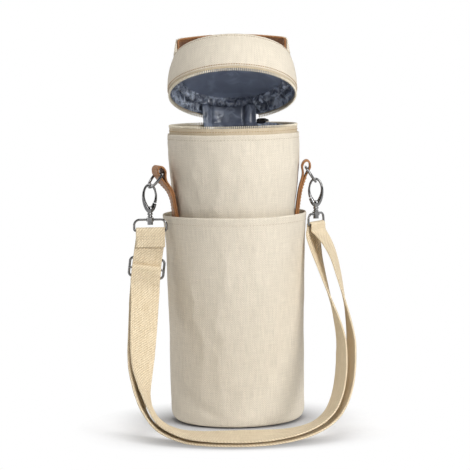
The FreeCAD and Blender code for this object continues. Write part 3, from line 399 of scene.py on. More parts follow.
def settle(piece, body, replaced=(), slot=None):
    if body == "lid":
        piece.data.transform(lidTurn)
    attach(piece, body)
    if replaced:
        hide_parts(*replaced)


def gridFaces(n, m):
    corners = [(i * m + j, (i + 1) * m + j) for i in range(n - 1) for j in range(m - 1)]
    return [(a, a + 1, b + 1, b) for a, b in corners]


def smoothLine(points, step):
    points = np.asarray(points, float)
    ends = np.vstack([2 * points[0] - points[1], points, 2 * points[-1] - points[-2]])
    out = []
    for p0, p1, p2, p3 in zip(ends, ends[1:], ends[2:], ends[3:]):
        count = max(1, int(np.ceil(np.linalg.norm(p2 - p1) / step)))
        square, cube = 2 * p0 - 5 * p1 + 4 * p2 - p3, 3 * p1 - p0 - 3 * p2 + p3
        for t in np.arange(count) / count:
            out.append(0.5 * (2 * p1 + (p2 - p0) * t + square * t ** 2 + cube * t ** 3))
    return np.array(out + [points[-1]])


def lengthsOf(line):
    return np.concatenate([[0], np.cumsum(np.linalg.norm(np.diff(line, axis=0), axis=1))])


def clamp(share):
    return min(1.0, max(0.0, share))


def dent(x, spot, width):
    return exp(-((x - spot) / width) ** 2)


def ripple(angle, z, radius, size, seed):
    return noise.noise(Vector((cos(angle) * radius / size, sin(angle) * radius / size, z / size + seed)))


# waves of a piece: mm deep, mm long, seed
def unevenness(angle, z, look):
    return sum(depth * ripple(angle, z, look["radius"], size, seed) for depth, size, seed in look["waves"])


def applyModifiers(piece):
    bpy.context.view_layer.update()
    mesh = bpy.data.meshes.new_from_object(piece.evaluated_get(bpy.context.evaluated_depsgraph_get()))
    old = piece.data
    piece.modifiers.clear()
    piece.data = mesh
    bpy.data.meshes.remove(old)
    mesh.name = piece.name


surfaces = {}


# one run of cloth on a piece, held by its pin weights, each point kept within the cap
def drape(piece, pins, frames, pressure, slack, cap, bending=0.3, inward=9.0, quality=6):
    tiny = 1e-9
    start = np.empty(len(piece.data.vertices) * 3)
    piece.data.vertices.foreach_get("co", start)
    start = start.reshape(-1, 3)
    held = piece.vertex_groups.new(name="held")
    for k, weight in enumerate(pins):
        held.add([k], float(weight), "REPLACE")
    cloth = piece.modifiers.new("drape", "CLOTH")
    settings = {"quality": quality, "vertex_group_mass": "held", "bending_stiffness": bending, "shrink_min": -slack,
                "use_pressure": pressure != 0, "uniform_pressure_force": pressure}
    for key, value in settings.items():
        setattr(cloth.settings, key, value)
    cloth.settings.effector_weights.gravity = 0
    cloth.collision_settings.use_collision = False
    cloth.point_cache.frame_start = 1
    cloth.point_cache.frame_end = frames
    for frameNumber in range(1, frames + 1):
        scene.frame_set(frameNumber)
    settled = piece.evaluated_get(bpy.context.evaluated_depsgraph_get())
    end = np.empty(len(start) * 3)
    settled.data.vertices.foreach_get("co", end)
    move = end.reshape(-1, 3) - start
    far = np.linalg.norm(move, axis=1, keepdims=True)
    move *= np.minimum(1, cap * mm / np.maximum(far, tiny))
    out = start[:, :2] / np.maximum(np.linalg.norm(start[:, :2], axis=1, keepdims=True), tiny)
    sunk = np.minimum(0, np.sum(move[:, :2] * out, 1) + inward * mm)
    move[:, :2] -= out * sunk[:, None]
    piece.modifiers.clear()
    piece.vertex_groups.clear()
    scene.frame_set(1)
    piece.data.vertices.foreach_set("co", (start + move).ravel())
    piece.data.update()
    most = float(np.linalg.norm(move, axis=1).max()) / mm
    print("   cloth on", piece.name, "moved up to", round(most, 2), "mm")


def turnedPiece(name, profile, material, step, segments=260, arc=360.0, shift=None, uvRadius=66.0,
                hold=None, cloth=None, soften=0, body=None, **rest):
    line = smoothLine(profile, step)
    run = lengthsOf(line)
    points, uvs = [], []
    for angle in np.radians(-90 + np.linspace(-arc / 2, arc / 2, segments + 1)):
        for (r, z), v in zip(line, run):
            if shift:
                r, z = shift(angle, r, z)
            points.append((r * cos(angle), r * sin(angle), z))
            uvs.append((angle * uvRadius, v))
    piece = meshPiece(name, points, gridFaces(segments + 1, len(line)), material, uvs)
    if cloth:
        pins = [hold(r, z) for r, z in line] * (segments + 1)
        pins[:len(line)] = pins[-len(line):] = [1.0] * len(line)
        drape(piece, pins, **cloth)
    if soften:
        piece.modifiers.new("soften", "SUBSURF").levels = soften
        applyModifiers(piece)
    spots = [v.co / mm for v in piece.data.vertices]
    surfaces[name] = BVHTree.FromPolygons(spots, [p.vertices[:] for p in piece.data.polygons])
    settle(piece, body, **rest)
    return piece


# cloth is pinned outside the loose part of its height
def heldAt(z, look):
    return not look["loose"][0] <= z <= look["loose"][1]


def laidOn(name, line, normals):
    spots = []
    for spot, n in zip(line, normals):
        hit = surfaces[name].ray_cast(Vector(spot + n * 8), Vector(-n), 20)[0]
        spots.append(spot if hit is None else np.array(hit) + n * 0.1)
    return np.array(spots)


def ribbonSection(width, thick):
    half, edge = width / 2, thick / 2
    flat = half - edge
    front = [(t * flat, edge) for t in np.linspace(-1, 1, 15)]
    right = [(flat + cos(a) * edge, sin(a) * edge) for a in np.linspace(1.3, -1.3, 6)]
    back = [(t * flat, -edge) for t in np.linspace(1, -1, 15)]
    left = [(-flat - cos(a) * edge, -sin(a) * edge) for a in np.linspace(1.3, -1.3, 6)]
    return np.array(front + right + back + left + front[:1])


def alongOf(centres):
    along = np.gradient(centres, axis=0)
    return along / np.linalg.norm(along, axis=1)[:, None]


def tubeFaces(base, rings, sides):
    faces = []
    for i in range(rings - 1):
        for q in range(sides):
            a, b = base + i * sides + q, base + i * sides + (q + 1) % sides
            faces.append((a, b, b + sides, a + sides))
    return faces


def capFaces(base, rings, sides):
    last = base + (rings - 1) * sides
    return [tuple(range(base, base + sides))[::-1], tuple(range(last, last + sides))]


def ribbonPiece(name, centres, across, width, thick, material, startCap=True, endCap=True, **rest):
    centres = np.asarray(centres, float)
    count = len(centres)
    along = alongOf(centres)
    across = np.broadcast_to(np.asarray(across, float), centres.shape)
    across = across - along * np.sum(across * along, 1)[:, None]
    across = across / np.linalg.norm(across, axis=1)[:, None]
    face = np.cross(along, across)
    widths, thicks = np.broadcast_to(width, count), np.broadcast_to(thick, count)
    run = lengthsOf(centres)
    points, uvs = [], []
    for i in range(count):
        section = ribbonSection(widths[i], thicks[i])
        points.append(centres[i] + np.outer(section[:, 0], across[i]) + np.outer(section[:, 1], face[i]))
        uvs.append(np.stack([lengthsOf(section), np.full(len(section), run[i])], 1))
    m = len(section)
    faces = gridFaces(count, m)
    if startCap:
        faces.append(tuple(range(m - 1))[::-1])
    if endCap:
        faces.append(tuple((count - 1) * m + j for j in range(m - 1)))
    return meshPiece(name, np.concatenate(points), faces, material, np.concatenate(uvs), **rest)


def tubePiece(name, centres, sideways, wide, deep, material, **rest):
    centres, sideways = np.asarray(centres, float), np.asarray(sideways, float)
    outward = np.cross(alongOf(centres), sideways)
    turns = np.linspace(0, tau, 13)[:-1]
    points = []
    for centre, n, w, d in zip(centres, outward, wide, deep):
        points += [centre + n * w * cos(t) + sideways * d * sin(t) for t in turns]
    rings, sides = len(centres), len(turns)
    return meshPiece(name, points, tubeFaces(0, rings, sides) + capFaces(0, rings, sides), material, **rest)


# one stitch, from end to end: swell, then lift, in shares of the thread's radius
stitchShape = ((0.35, -0.9), (0.9, -0.1), (1.0, 0.15), (0.9, -0.1), (0.35, -0.9))


def stitchRow(name, line, normals, material, body, length=2.4, gap=1.2, radius=0.3, sides=6):
    line = np.asarray(line, float)
    normals = np.broadcast_to(np.asarray(normals, float), line.shape)
    run = lengthsOf(line)
    points, faces = [], []
    for k in range(int(run[-1] // (length + gap))):
        stops = k * (length + gap) + np.linspace(0, length, len(stitchShape))
        spine = np.stack([np.interp(stops, run, line[:, i]) for i in range(3)], 1)
        lift = np.stack([np.interp(stops, run, normals[:, i]) for i in range(3)], 1)
        along = spine[-1] - spine[0]
        along = along / (np.linalg.norm(along) + 1e-9)
        faces += tubeFaces(len(points), len(stitchShape), sides)
        for spot, n, (swell, rise) in zip(spine, lift, stitchShape):
            n = n / np.linalg.norm(n)
            side = np.cross(along, n)
            for t in np.arange(sides) * tau / sides:
                points.append(spot + radius * (n * rise + (n * sin(t) + side * cos(t)) * swell))
    return meshPiece(name, points, faces, material, body=body)


def ringLine(radius, z, arc=360.0, shift=None, count=500):
    angles = np.radians(-90 + np.linspace(-arc / 2, arc / 2, count))
    spots = [shift(a, radius, z) if shift else (radius, z) for a in angles]
    line = [(r * cos(a), r * sin(a), height) for a, (r, height) in zip(angles, spots)]
    normals = [(cos(a), sin(a), 0.0) for a in angles]
    return np.array(line), np.array(normals)


def seamOn(name, piece, reach, z, shift, thread, body, **stitch):
    line, normals = ringLine(reach, z, shift=shift)
    stitchRow(name, laidOn(piece, line, normals), normals, thread, body, **stitch)


def centreOf(node):
    low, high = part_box(node)
    return (np.array(low) + np.array(high)) / 2 / mm


def heightsOf(node):
    low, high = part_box(node)
    return low[2] / mm, high[2] / mm


def spun(points, origin, turn, lean=0.0):
    spin = np.array(Matrix.Rotation(turn, 3, "Z") @ Matrix.Rotation(lean, 3, "Y"))
    return np.asarray(points, float) @ spin.T + np.asarray(origin, float), spin


hingeY, hingeZ, lidOpen = 66.5, 310.0, radians(24.5)
lidTurn = (
    Matrix.Translation((0, hingeY * (1 - cos(lidOpen)) * mm, (hingeZ + hingeY * sin(lidOpen)) * mm))
    @ Matrix.Rotation(-lidOpen, 4, "X")
)

# shoulder strap: two runs of one webbing, points in tenths of a metre, then the way across the webbing
strap = {"width": 30.0, "thick": 2.0}
innerRun = [
    (-0.915, -0.3925, 1.638, 0.9925, 0, -0.12), (-0.9243, -0.3925, 1.562, 0.9925, 0, -0.12),
    (-0.9338, -0.3925, 1.485, 0.9925, 0, -0.12), (-0.9345, -0.408, 1.42, 0.98, 0.08, -0.14),
    (-0.939, -0.48, 1.294, 0.94, 0.27, -0.2), (-0.949, -0.63, 1.058, 0.89, 0.35, -0.3),
    (-0.959, -0.82, 0.82, 0.8, 0.45, -0.41), (-0.962, -0.98, 0.643, 0.62, 0.6, -0.5),
    (-0.944, -1.1, 0.501, 0.39, 0.75, -0.54), (-0.908, -1.19, 0.386, 0.26, 0.83, -0.5),
    (-0.845, -1.27, 0.269, 0.28, 0.84, -0.45), (-0.713, -1.39, 0.15, 0.42, 0.88, -0.22),
    (-0.475, -1.52, 0.096, 0.35, 0.93, 0.05), (-0.21, -1.61, 0.095, 0.2, 0.96, 0.18),
    (0.05, -1.64, 0.097, 0, 0.97, 0.22), (0.287, -1.61, 0.098, -0.2, 0.96, 0.17),
    (0.553, -1.53, 0.114, -0.32, 0.94, 0.02), (0.754, -1.44, 0.165, -0.42, 0.9, -0.14),
    (0.877, -1.35, 0.238, -0.48, 0.82, -0.3), (0.952, -1.26, 0.326, -0.47, 0.77, -0.43),
    (1.008, -1.15, 0.455, -0.42, 0.77, -0.49), (1.044, -1.02, 0.624, -0.37, 0.77, -0.53),
    (1.058, -0.85, 0.853, -0.28, 0.76, -0.59), (1.038, -0.7, 1.027, -0.08, 0.77, -0.63),
    (0.98, -0.53, 1.247, 0.12, 0.8, -0.58), (0.925, -0.38, 1.436, 0.25, 0.81, -0.54),
    (0.884, -0.27, 1.58, 0.32, 0.83, -0.46), (0.836, -0.13, 1.756, 0.42, 0.85, -0.34),
    (0.817, -0.03, 1.875, 0.48, 0.87, -0.15), (0.828, 0.01, 1.955, 0.5, 0.866, 0),
    (0.829, 0.0125, 1.99, 0.5, 0.866, 0),
]
outerRun = [
    (-0.872, -0.2925, 1.98, 1, 0, 0), (-0.8725, -0.298, 1.95, 1, 0, 0),
    (-0.884, -0.3165, 1.87, 1, 0, -0.12), (-0.899, -0.317, 1.78, 1, 0, -0.12),
    (-0.919, -0.317, 1.65, 1, 0, -0.12), (-0.936, -0.3172, 1.5, 1, 0, -0.12),
    (-0.946, -0.3172, 1.4, 1, 0, -0.12), (-0.9535, -0.3172, 1.33, 1, 0, -0.12),
    (-0.9585, -0.318, 1.272, 0.99, 0.06, -0.13), (-0.962, -0.365, 1.205, 0.95, 0.22, -0.18),
    (-0.972, -0.56, 1.033, 0.89, 0.35, -0.3), (-0.989, -0.789, 0.795, 0.8, 0.45, -0.41),
    (-1.001, -0.957, 0.621, 0.62, 0.6, -0.5), (-0.997, -1.087, 0.48, 0.39, 0.75, -0.54),
    (-0.97, -1.187, 0.357, 0.26, 0.83, -0.5), (-0.9, -1.275, 0.227, 0.28, 0.84, -0.45),
    (-0.738, -1.392, 0.103, 0.42, 0.88, -0.2), (-0.478, -1.516, 0.046, 0.35, 0.93, 0.05),
    (-0.207, -1.605, 0.048, 0.2, 0.97, 0.14), (0.051, -1.635, 0.05, 0, 0.98, 0.16),
    (0.287, -1.605, 0.05, -0.2, 0.97, 0.13), (0.56, -1.527, 0.066, -0.32, 0.94, 0.02),
    (0.776, -1.439, 0.112, -0.42, 0.9, -0.14), (0.92, -1.345, 0.182, -0.48, 0.82, -0.3),
    (1.013, -1.248, 0.278, -0.47, 0.77, -0.43), (1.084, -1.132, 0.416, -0.42, 0.77, -0.49),
    (1.13, -0.999, 0.596, -0.37, 0.77, -0.53), (1.157, -0.827, 0.834, -0.28, 0.76, -0.59),
    (1.147, -0.683, 1.035, -0.08, 0.77, -0.63), (1.11, -0.527, 1.278, 0.12, 0.8, -0.58),
    (1.068, -0.392, 1.483, 0.25, 0.81, -0.54), (1.036, -0.282, 1.639, 0.32, 0.83, -0.46),
    (0.982, -0.16, 1.79, 0.42, 0.85, -0.3), (0.92, -0.06, 1.9, 0.48, 0.87, -0.12),
    (0.874, -0.015, 1.96, 0.5, 0.866, 0), (0.871, -0.0125, 1.99, 0.5, 0.866, 0),
]


def routeLine(name, rows):
    curve = bpy.data.curves.new(name, "CURVE")
    curve.dimensions = "3D"
    curve.resolution_u = 10
    spline = curve.splines.new("NURBS")
    spline.points.add(len(rows) - 1)
    for point, row in zip(spline.points, rows):
        point.co = (row[0] / 10, row[1] / 10, row[2] / 10, 1)
    spline.order_u = 3
    spline.use_endpoint_u = True
    guide = bpy.data.objects.new(name, curve)
    scene.collection.objects.link(guide)
    bpy.context.view_layer.update()
    mesh = bpy.data.meshes.new_from_object(guide.evaluated_get(bpy.context.evaluated_depsgraph_get()))
    line = np.array([v.co[:] for v in mesh.vertices]) / mm
    bpy.data.objects.remove(guide)
    bpy.data.meshes.remove(mesh)
    return line


# one run in two pieces, split on the floor in front. Each piece finds where a bend from its own end would start, after
# a stiff first part, and stop, so many mm on, but does not use them
def strapRun(name, rows, node, firstBody, lastBody, bends, stiff):
    line = routeLine(name + "Route", rows)
    spots = lengthsOf(np.array([row[:3] for row in rows]))
    stops = lengthsOf(line) / lengthsOf(line)[-1] * spots[-1]
    across = np.stack([np.interp(stops, spots, [row[3 + i] for row in rows]) for i in range(3)], 1)
    middle = int(np.argmin(np.abs(line[:, 0] - 5.0) + (line[:, 2] > 30) * 1e6))  # lowest part, on the floor in front
    for label, part, body, fromStart, bend in (
        (name + "Left", slice(0, middle + 1), firstBody, True, bends[0]),
        (name + "Right", slice(middle, len(line)), lastBody, False, bends[1]),
    ):
        piece = ribbonPiece(label, line[part], across[part], strap["width"], strap["thick"], webbing,
                            fromStart, not fromStart)
        way = line[part] * mm if fromStart else line[part][::-1] * mm
        reaches = (stiff if fromStart else 0, bend)
        begin, end = (way[int(np.searchsorted(lengthsOf(way), far * mm))] for far in reaches)
        tuple(begin)
        tuple(end)
        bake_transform(piece)
        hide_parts(node)
        tuple(way[0])
        float(lengthsOf(way)[-1])
        [tuple(p) for p in way]


strapRun("strapInner", innerRun, "strap_run_b", "adjuster", "eye_right", bends=(75, 70), stiff=15)
strapRun("strapOuter", outerRun, "strap_run_a", "eye_left", "eye_right", bends=(17, 70), stiff=0)
print("strap runs laid")


# webbing turned round a bar, seen from the bar's end: (depth, height) down one side, over and down the other
def wrapPiece(name, node, body, origin, inner, front, back, turn=0.0, lean=0.0, rows=()):
    mid = inner + strap["thick"] / 2
    line = [(-mid, -front), (-mid, -front / 2), (-mid, -0.4)]
    line += [(-mid * cos(a), mid * sin(a)) for a in np.linspace(0.2, pi - 0.2, 9)]
    line += [(mid, -0.4), (mid, -back / 2), (mid, -back)]
    points, spin = spun([(0, y, z) for y, z in smoothLine(line, 0.8)], origin, turn, lean)
    ribbonPiece(name, points, spin @ (1, 0, 0), strap["width"], strap["thick"] * 0.95, webbing,
                body=body, replaced=(node,), slot="webbing")
    for k, drop in enumerate(rows):
        spots = [(x, -mid - strap["thick"] * 0.48, drop) for x in np.linspace(-13.5, 13.5, 30)]
        seam, spin = spun(spots, origin, turn, lean)
        stitchRow(f"{name}Stitch{k}", seam, spin @ (0, -1, 0), creamThread, body, length=1.9, gap=0.9)


eyeDrop, barInset = 3.5, 1.3  # from the top of the webbing to its eye, from the front of the bar to its middle
leftEye, rightEye, bar = (centreOf(node) for node in ("strap_end_left", "strap_turn_right", "adjuster_bar"))
leftEye[2] = heightsOf("strap_end_left")[1] - eyeDrop
rightEye[2] = heightsOf("strap_turn_right")[1] - eyeDrop
bar[1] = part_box("adjuster_bar")[0][1] / mm + barInset
wrapPiece("strapEndLeft", "strap_end_left", "eye_left", leftEye, inner=1.5, front=17.0, back=4.5, rows=(-5.5, -8.5))
wrapPiece("strapTurnRight", "strap_turn_right", "eye_right", rightEye, inner=1.5, front=4.2, back=4.2,
          turn=radians(60))
wrapPiece("adjusterFold", "adjuster_fold", "adjuster", bar, inner=1.6, front=14.6, back=12.0, lean=radians(7))
print("strap ends wrapped")

# carrier body: padded wall in canvas, flared to the zip, with its top edge folded in
shell = {
    "profile": [(62.3, 12), (62.5, 60), (62.5, 150), (62.5, 205), (62.6, 216), (63.2, 225), (63.9, 232), (66.2, 248),
                (67.8, 262), (68.7, 278), (68.7, 291), (68.75, 297.5), (68.7, 299.6), (68.2, 300.5), (67.6, 300.3),
                (67.2, 299.2), (67.0, 296)],
    "radius": 66, "waves": ((0.45, 38, 3.1), (0.2, 12, 7.7)), "seam": 295.2, "loose": (205, 293),
    "cloth": {"frames": 16, "pressure": 3.0, "slack": 0.002, "cap": 1.1, "inward": 0.6},
}


def shellShift(angle, r, z):
    rim = 0.35 * ripple(angle, 0, shell["radius"], 30, 1.5) if z > 290 else 0
    pinch = -0.35 * dent(z, shell["seam"], 1.6)
    return r + unevenness(angle, z, shell) * clamp((z - 216) / 20) + pinch, z + rim


bodyShell = turnedPiece(
    "bodyShell", shell["profile"], canvas, step=5.0, segments=112, shift=shellShift, soften=1, cloth=shell["cloth"],
    hold=lambda r, z: heldAt(z, shell),
    body="carrier", replaced=("body_shell", "rim_hem", "wall_foam", "collar_foam"), slot="canvas")
seamOn("shellStitch", "bodyShell", 68.75, shell["seam"], shellShift, creamThread, "carrier")

# outer pocket sleeve: rounded foot, flared mouth with its hem turned inside
sleeve = {
    "profile": [(57.9, 0.2), (61.3, 0.3), (64.2, 1.0), (67.3, 3.3), (69.3, 6.9), (70.0, 11.5), (70.3, 30), (70.8, 70),
                (71.5, 110), (72.2, 150), (72.9, 188), (73.6, 200), (74.5, 210), (75.1, 214.4), (75.1, 216.0),
                (74.5, 216.9), (73.5, 216.5), (73.0, 214.5), (72.6, 209), (71.9, 199.5), (71.6, 190), (71.0, 150),
                (69.6, 70), (68.9, 16)],
    "radius": 72, "waves": ((0.4, 46, 11.3), (0.14, 13, 5.1)), "seam": 209.0, "loose": (14, 203),
    # dents: degrees from the front, height, degrees wide, mm high, lean, mm deep
    "dents": ((-47, 29, 13, 9, -0.5, 2.3), (-25, 16, 13, 5, -0.6, 1.7), (62, 192, 10, 24, 0.0, 1.6),
              (-60, 170, 14, 40, 0.0, 0.8)),
    "cloth": {"frames": 16, "pressure": 2.0, "slack": 0.001, "cap": 0.7, "inward": 0.6},
}


def sleeveShift(angle, r, z):
    mouth = max(0.0, (z - 150) / 66)
    pinch = -0.3 * dent(z, sleeve["seam"], 1.5)
    soft = unevenness(angle, z, sleeve) * min(1.0, z / 20)
    soft += mouth * 0.5 * ripple(angle, 0, sleeve["radius"], 60, 2.2)
    fromFront = (degrees(angle) + 90 + 180) % 360 - 180
    for spot, height, wide, high, lean, depth in sleeve["dents"]:
        soft -= depth * dent(fromFront, spot, wide) * dent(z, height + lean * (fromFront - spot), high)
    return r + soft + pinch, z + mouth ** 3 * 0.6 * ripple(angle, 0, sleeve["radius"], 45, 8.8)


pocketSleeve = turnedPiece(
    "pocketSleeve", sleeve["profile"], canvas, step=5.0, segments=120, shift=sleeveShift, uvRadius=72.0, soften=1,
    hold=lambda r, z: r < 69.4 + z * 0.0163 or heldAt(z, sleeve), cloth=sleeve["cloth"],
    body="carrier", replaced=("pocket_sleeve", "pocket_hem"), slot="canvas")
seamOn("sleeveStitch", "pocketSleeve", 74.5, sleeve["seam"], sleeveShift, creamThread, "carrier")

# underside, a round of canvas let into the sleeve
turnedPiece("basePanel", [(0.05, 0.55), (20, 0.45), (40, 0.3), (56.5, 0.2), (57.8, 0.5), (57.9, 1.2)], flatCanvas,
            step=3.0, segments=160, body="carrier", replaced=("base_panel", "base_board", "base_foam"), slot="canvas")

# zip: tapes with a coil of single teeth
zipLook = {
    "arc": 311.0, "radius": 66.05, "pitch": 2.05, "tooth": 0.52, "sides": 8,
    # one tooth, from its head down: height, depth, width share
    "levels": ((-0.72, 0.65, 0.65), (-0.3, 1.0, 1.0), (0.6, 1.05, 1.0), (2.1, 0.75, 0.75)),
    "bodyTape": [(66.2, 296), (66.55, 297), (66.6, 302), (66.6, 305.6), (66.5, 306.6), (66.1, 307.0), (65.7, 306.6),
                 (65.6, 304), (65.6, 292)],
    "lidTape": [(65.6, 14), (65.6, 6), (65.6, 3.9), (66.0, 3.4), (66.45, 3.8), (66.6, 5), (66.6, 9)],
}
turnedPiece("bodyTape", zipLook["bodyTape"], tapeCloth, step=1.4, arc=zipLook["arc"],
            shift=lambda a, r, z: (r + 0.25 * ripple(a, z, 66, 25, 4.4), z),
            body="carrier", replaced=("body_zip_tape",), slot="zip_tape")
line, normals = ringLine(66.75, 303.4, zipLook["arc"])
stitchRow("tapeStitch", line, normals, tanThread, "carrier", length=2.0, gap=0.9, radius=0.24)


def coilPiece(name, z, meets, body, replaced):
    arc, levels, sides = radians(zipLook["arc"]), zipLook["levels"], zipLook["sides"]
    count = int(arc * zipLook["radius"] / zipLook["pitch"])
    points, faces = [], []
    for k in range(count):
        angle = -pi / 2 - arc / 2 + (k + 0.5) * arc / count
        c, s = cos(angle), sin(angle)
        faces += tubeFaces(len(points), len(levels), sides) + capFaces(len(points), len(levels), sides)
        for height, deep, wide in levels:
            for t in np.arange(sides) * tau / sides:
                r, side = zipLook["radius"] + cos(t) * deep, sin(t) * wide * zipLook["tooth"]
                points.append((r * c - side * s, r * s + side * c, z + height * meets))
    meshPiece(name, points, faces, coilNylon, body=body, replaced=(replaced,), slot="zip_teeth")


coilPiece("bodyCoil", 308.6, -1, "carrier", "body_zip_teeth")

# lining of the bottle space, loose over the foam
wallLine = [(0.05, 9.4), (20, 9.5), (50, 9.6), (54.6, 10.5), (55.8, 14), (56.1, 60), (56.1, 205), (56.3, 216),
            (57.4, 232), (59.7, 248), (61.8, 270), (61.8, 288), (62.3, 291.5), (63.9, 293.5), (64.5, 297),
            (64.8, 302.2), (65.2, 302.7), (65.35, 301)]


def liningShift(angle, r, z):
    return r - 0.4 - 0.9 * abs(ripple(angle, z, 60, 16, 9.9)) - 0.4 * abs(ripple(angle, z, 60, 30, 2.3)), z


wallLining = turnedPiece("wallLining", wallLine, smoothLining, step=3.2, segments=220, shift=liningShift,
                         body="carrier", replaced=("wall_lining", "rim_facing", "floor_lining"), slot="lining")
print("carrier body dressed")

# lid: one padded band drawn in to a round top
lid = {
    "profile": [(66.4, 8.5), (66.55, 6.2), (66.8, 5.5), (67.1, 5.9), (67.2, 8), (67.2, 13), (66.8, 20), (65.7, 27),
                (64.0, 34), (61.8, 40.2), (60.7, 43.0), (60.3, 44.3), (59.7, 44.6), (59.0, 44.1), (57, 43.9),
                (40, 44.3), (20, 44.6), (0.1, 44.7)],
    "radius": 64, "waves": ((0.45, 40, 14.2), (0.16, 12, 1.7)),
    "cloth": {"frames": 16, "pressure": 2.0, "slack": 0.006, "cap": 0.9, "inward": 0.8},
    "seams": ((68.25, 7.4, tanThread), (61.4, 41.9, creamThread)),
}


def lidShift(angle, r, z):
    return r + unevenness(angle, z, lid) * min(1.0, r / 30), z


lidBand = turnedPiece(
    "lidBand", lid["profile"], canvas, step=3.6, segments=120, shift=lidShift, soften=1, cloth=lid["cloth"],
    hold=lambda r, z: z < 9.5 or (z > 42.5 and r > 56),
    body="lid", replaced=("lid_band", "lid_top", "lid_band_foam", "lid_top_foam"), slot="canvas")
for k, (reach, z, thread) in enumerate(lid["seams"]):
    seamOn(f"lidStitch{k}", "lidBand", reach, z, lidShift, thread, "lid", length=2.2, gap=0.4, radius=0.46)
turnedPiece("lidTape", zipLook["lidTape"], tapeCloth, step=1.4, arc=zipLook["arc"],
            body="lid", replaced=("lid_zip_tape",), slot="zip_tape")
coilPiece("lidCoil", 1.4, 1, "lid", "lid_zip_teeth")

# lid lining: crushed skirt, a ruffle where it meets the ceiling, smooth slack ceiling
lidLining = {
    "skirt": [(65.35, 5.2), (64.9, 4.4), (64.7, 6), (64.4, 9), (63.0, 12.6), (60.0, 14.4), (57.6, 14.6), (56.4, 13.0),
              (54.6, 11.6), (52.8, 12.4), (51.8, 15.0), (52.4, 18.2), (52.6, 20.6), (51.4, 21.6)],
    "ceiling": [(53.4, 20.4), (51.2, 21.4), (46, 23.2), (38, 25.2), (24, 27.6), (0.1, 28.6)],
    "ruffles": 39, "ruffle": 1.7, "crush": 2.6, "loose": (6.2, 20.8),
    "cloth": {"frames": 22, "pressure": 0.0, "slack": 0.09, "cap": 4.0, "bending": 0.05},
}


def roundNoise(angle, radius, z):
    return noise.noise(Vector((cos(angle) * radius, sin(angle) * radius, z)))


def crumple(angle, z, size, seed):
    spot = Vector((cos(angle) * 60 / size, sin(angle) * 60 / size, z / size * 0.7 + seed))
    return noise.ridged_multi_fractal(spot, 1.0, 2.1, 3, 1.0, 2.0)


def lidLiningShift(angle, r, z):
    onGather = exp(-((r - 53.6) ** 2 + (z - 15.6) ** 2) / 22.0)
    onSkirt = clamp((z - 5.5) / 4) * clamp((r - 55.5) / 2)
    drift = 1.4 * roundNoise(angle, 3, 3.0)
    wave = sin(angle * lidLining["ruffles"] + 2.4 * drift) * (0.7 + 0.5 * drift)
    crush = max(0.0, crumple(angle, z, 15, 3.3) - 0.4) if onSkirt else 0.0
    slack = 1.3 * ripple(angle, r, 40, 24, 5.7) * clamp((51 - r) / 8) * min(1.0, r / 15)
    small = 0.8 * roundNoise(angle, 19, z / 4)
    r -= onGather * (lidLining["ruffle"] * wave + small) + onSkirt * lidLining["crush"] * crush * 0.6
    return r, z - onGather * (lidLining["ruffle"] * 0.8 * wave - small) + slack


lidSkirt = turnedPiece(
    "lidLining", lidLining["skirt"], crushedLining, step=0.9, segments=420, shift=lidLiningShift,
    hold=lambda r, z: heldAt(z, lidLining), cloth=lidLining["cloth"],
    body="lid", replaced=("lid_lining",), slot="lining")
lidCeiling = turnedPiece("lidCeiling", lidLining["ceiling"], smoothLining, step=2.0, segments=220,
                         shift=lidLiningShift, body="lid", replaced=("lid_ceiling",), slot="lining")

# carry handle: a canvas strap lined with leather, standing on two ears that thicken to the foot
handle = {
    "foot": 43.6, "reach": 60.2, "lean": 1.6, "shoulder": 62.2, "top": 66.8, "corner": 2.2, "width": 28.0, "seam": 9.5,
    "layers": {
        "handleCanvas": {"inset": 0.7, "thick": 1.4, "swell": 2.6, "drawn": 0.6, "narrow": 6.0,
                         "material": canvas, "node": "handle_canvas", "slot": "canvas"},
        "handleLeather": {"inset": 2.6, "thick": 2.0, "swell": 0.0, "drawn": 2.2, "narrow": 0.0,
                          "material": tanLeather, "node": "handle_leather", "slot": "leather"},
    },
}


def handleLine(inset):
    side, top, shoulder = (handle[key] - inset for key in ("reach", "top", "shoulder"))
    lean, corner = handle["lean"], handle["corner"]
    ear = [(side, handle["foot"]), (side - lean * 0.5, 51), (side - lean, shoulder - corner)]
    ear += [(side - lean - corner * 0.3, shoulder - corner * 0.3)]
    arch = [(x, top - (top - shoulder) * (x / side) ** 2) for x in np.linspace(side - lean - corner - 1.5, 0, 6)]
    right = ear + arch
    return smoothLine([(-x, z) for x, z in right] + right[-2::-1], 1.4)


for name, layer in handle["layers"].items():
    line = handleLine(layer["inset"])
    onEar = np.clip((handle["shoulder"] - 2 - line[:, 1]) / 8, 0, 1)
    nearFoot = np.clip((58 - line[:, 1]) / 14, 0, 1)
    points = np.array([(x, 0.0, z) for x, z in line])
    points[:, 0] -= np.sign(points[:, 0]) * layer["drawn"] * nearFoot
    ribbonPiece(name, points, (0, 1, 0), handle["width"] - layer["narrow"] * (1 - onEar),
                layer["thick"] + layer["swell"] * nearFoot, layer["material"],
                body="lid", replaced=(layer["node"],), slot=layer["slot"])
line = handleLine(-0.05)
along = np.gradient(line, axis=0)
normals = np.stack([-along[:, 1], np.zeros(len(line)), along[:, 0]], 1)
for k, y in enumerate((-handle["seam"], handle["seam"])):
    stitchRow(f"handleStitch{k}", [(x, y, z) for x, z in line], normals, creamThread, "lid", gap=1.0, radius=0.28)
print("lid dressed")


# cloth hinge at the back: canvas outside, lining inside, each laid from the carrier to the open lid
def onBody(radius, z):
    return lambda x: np.array((x, sqrt(radius ** 2 - x * x), z))


def onLid(radius, z):
    return lambda x: np.array(lidTurn @ Vector((x * mm, sqrt(radius ** 2 - x * x) * mm, z * mm))) / mm


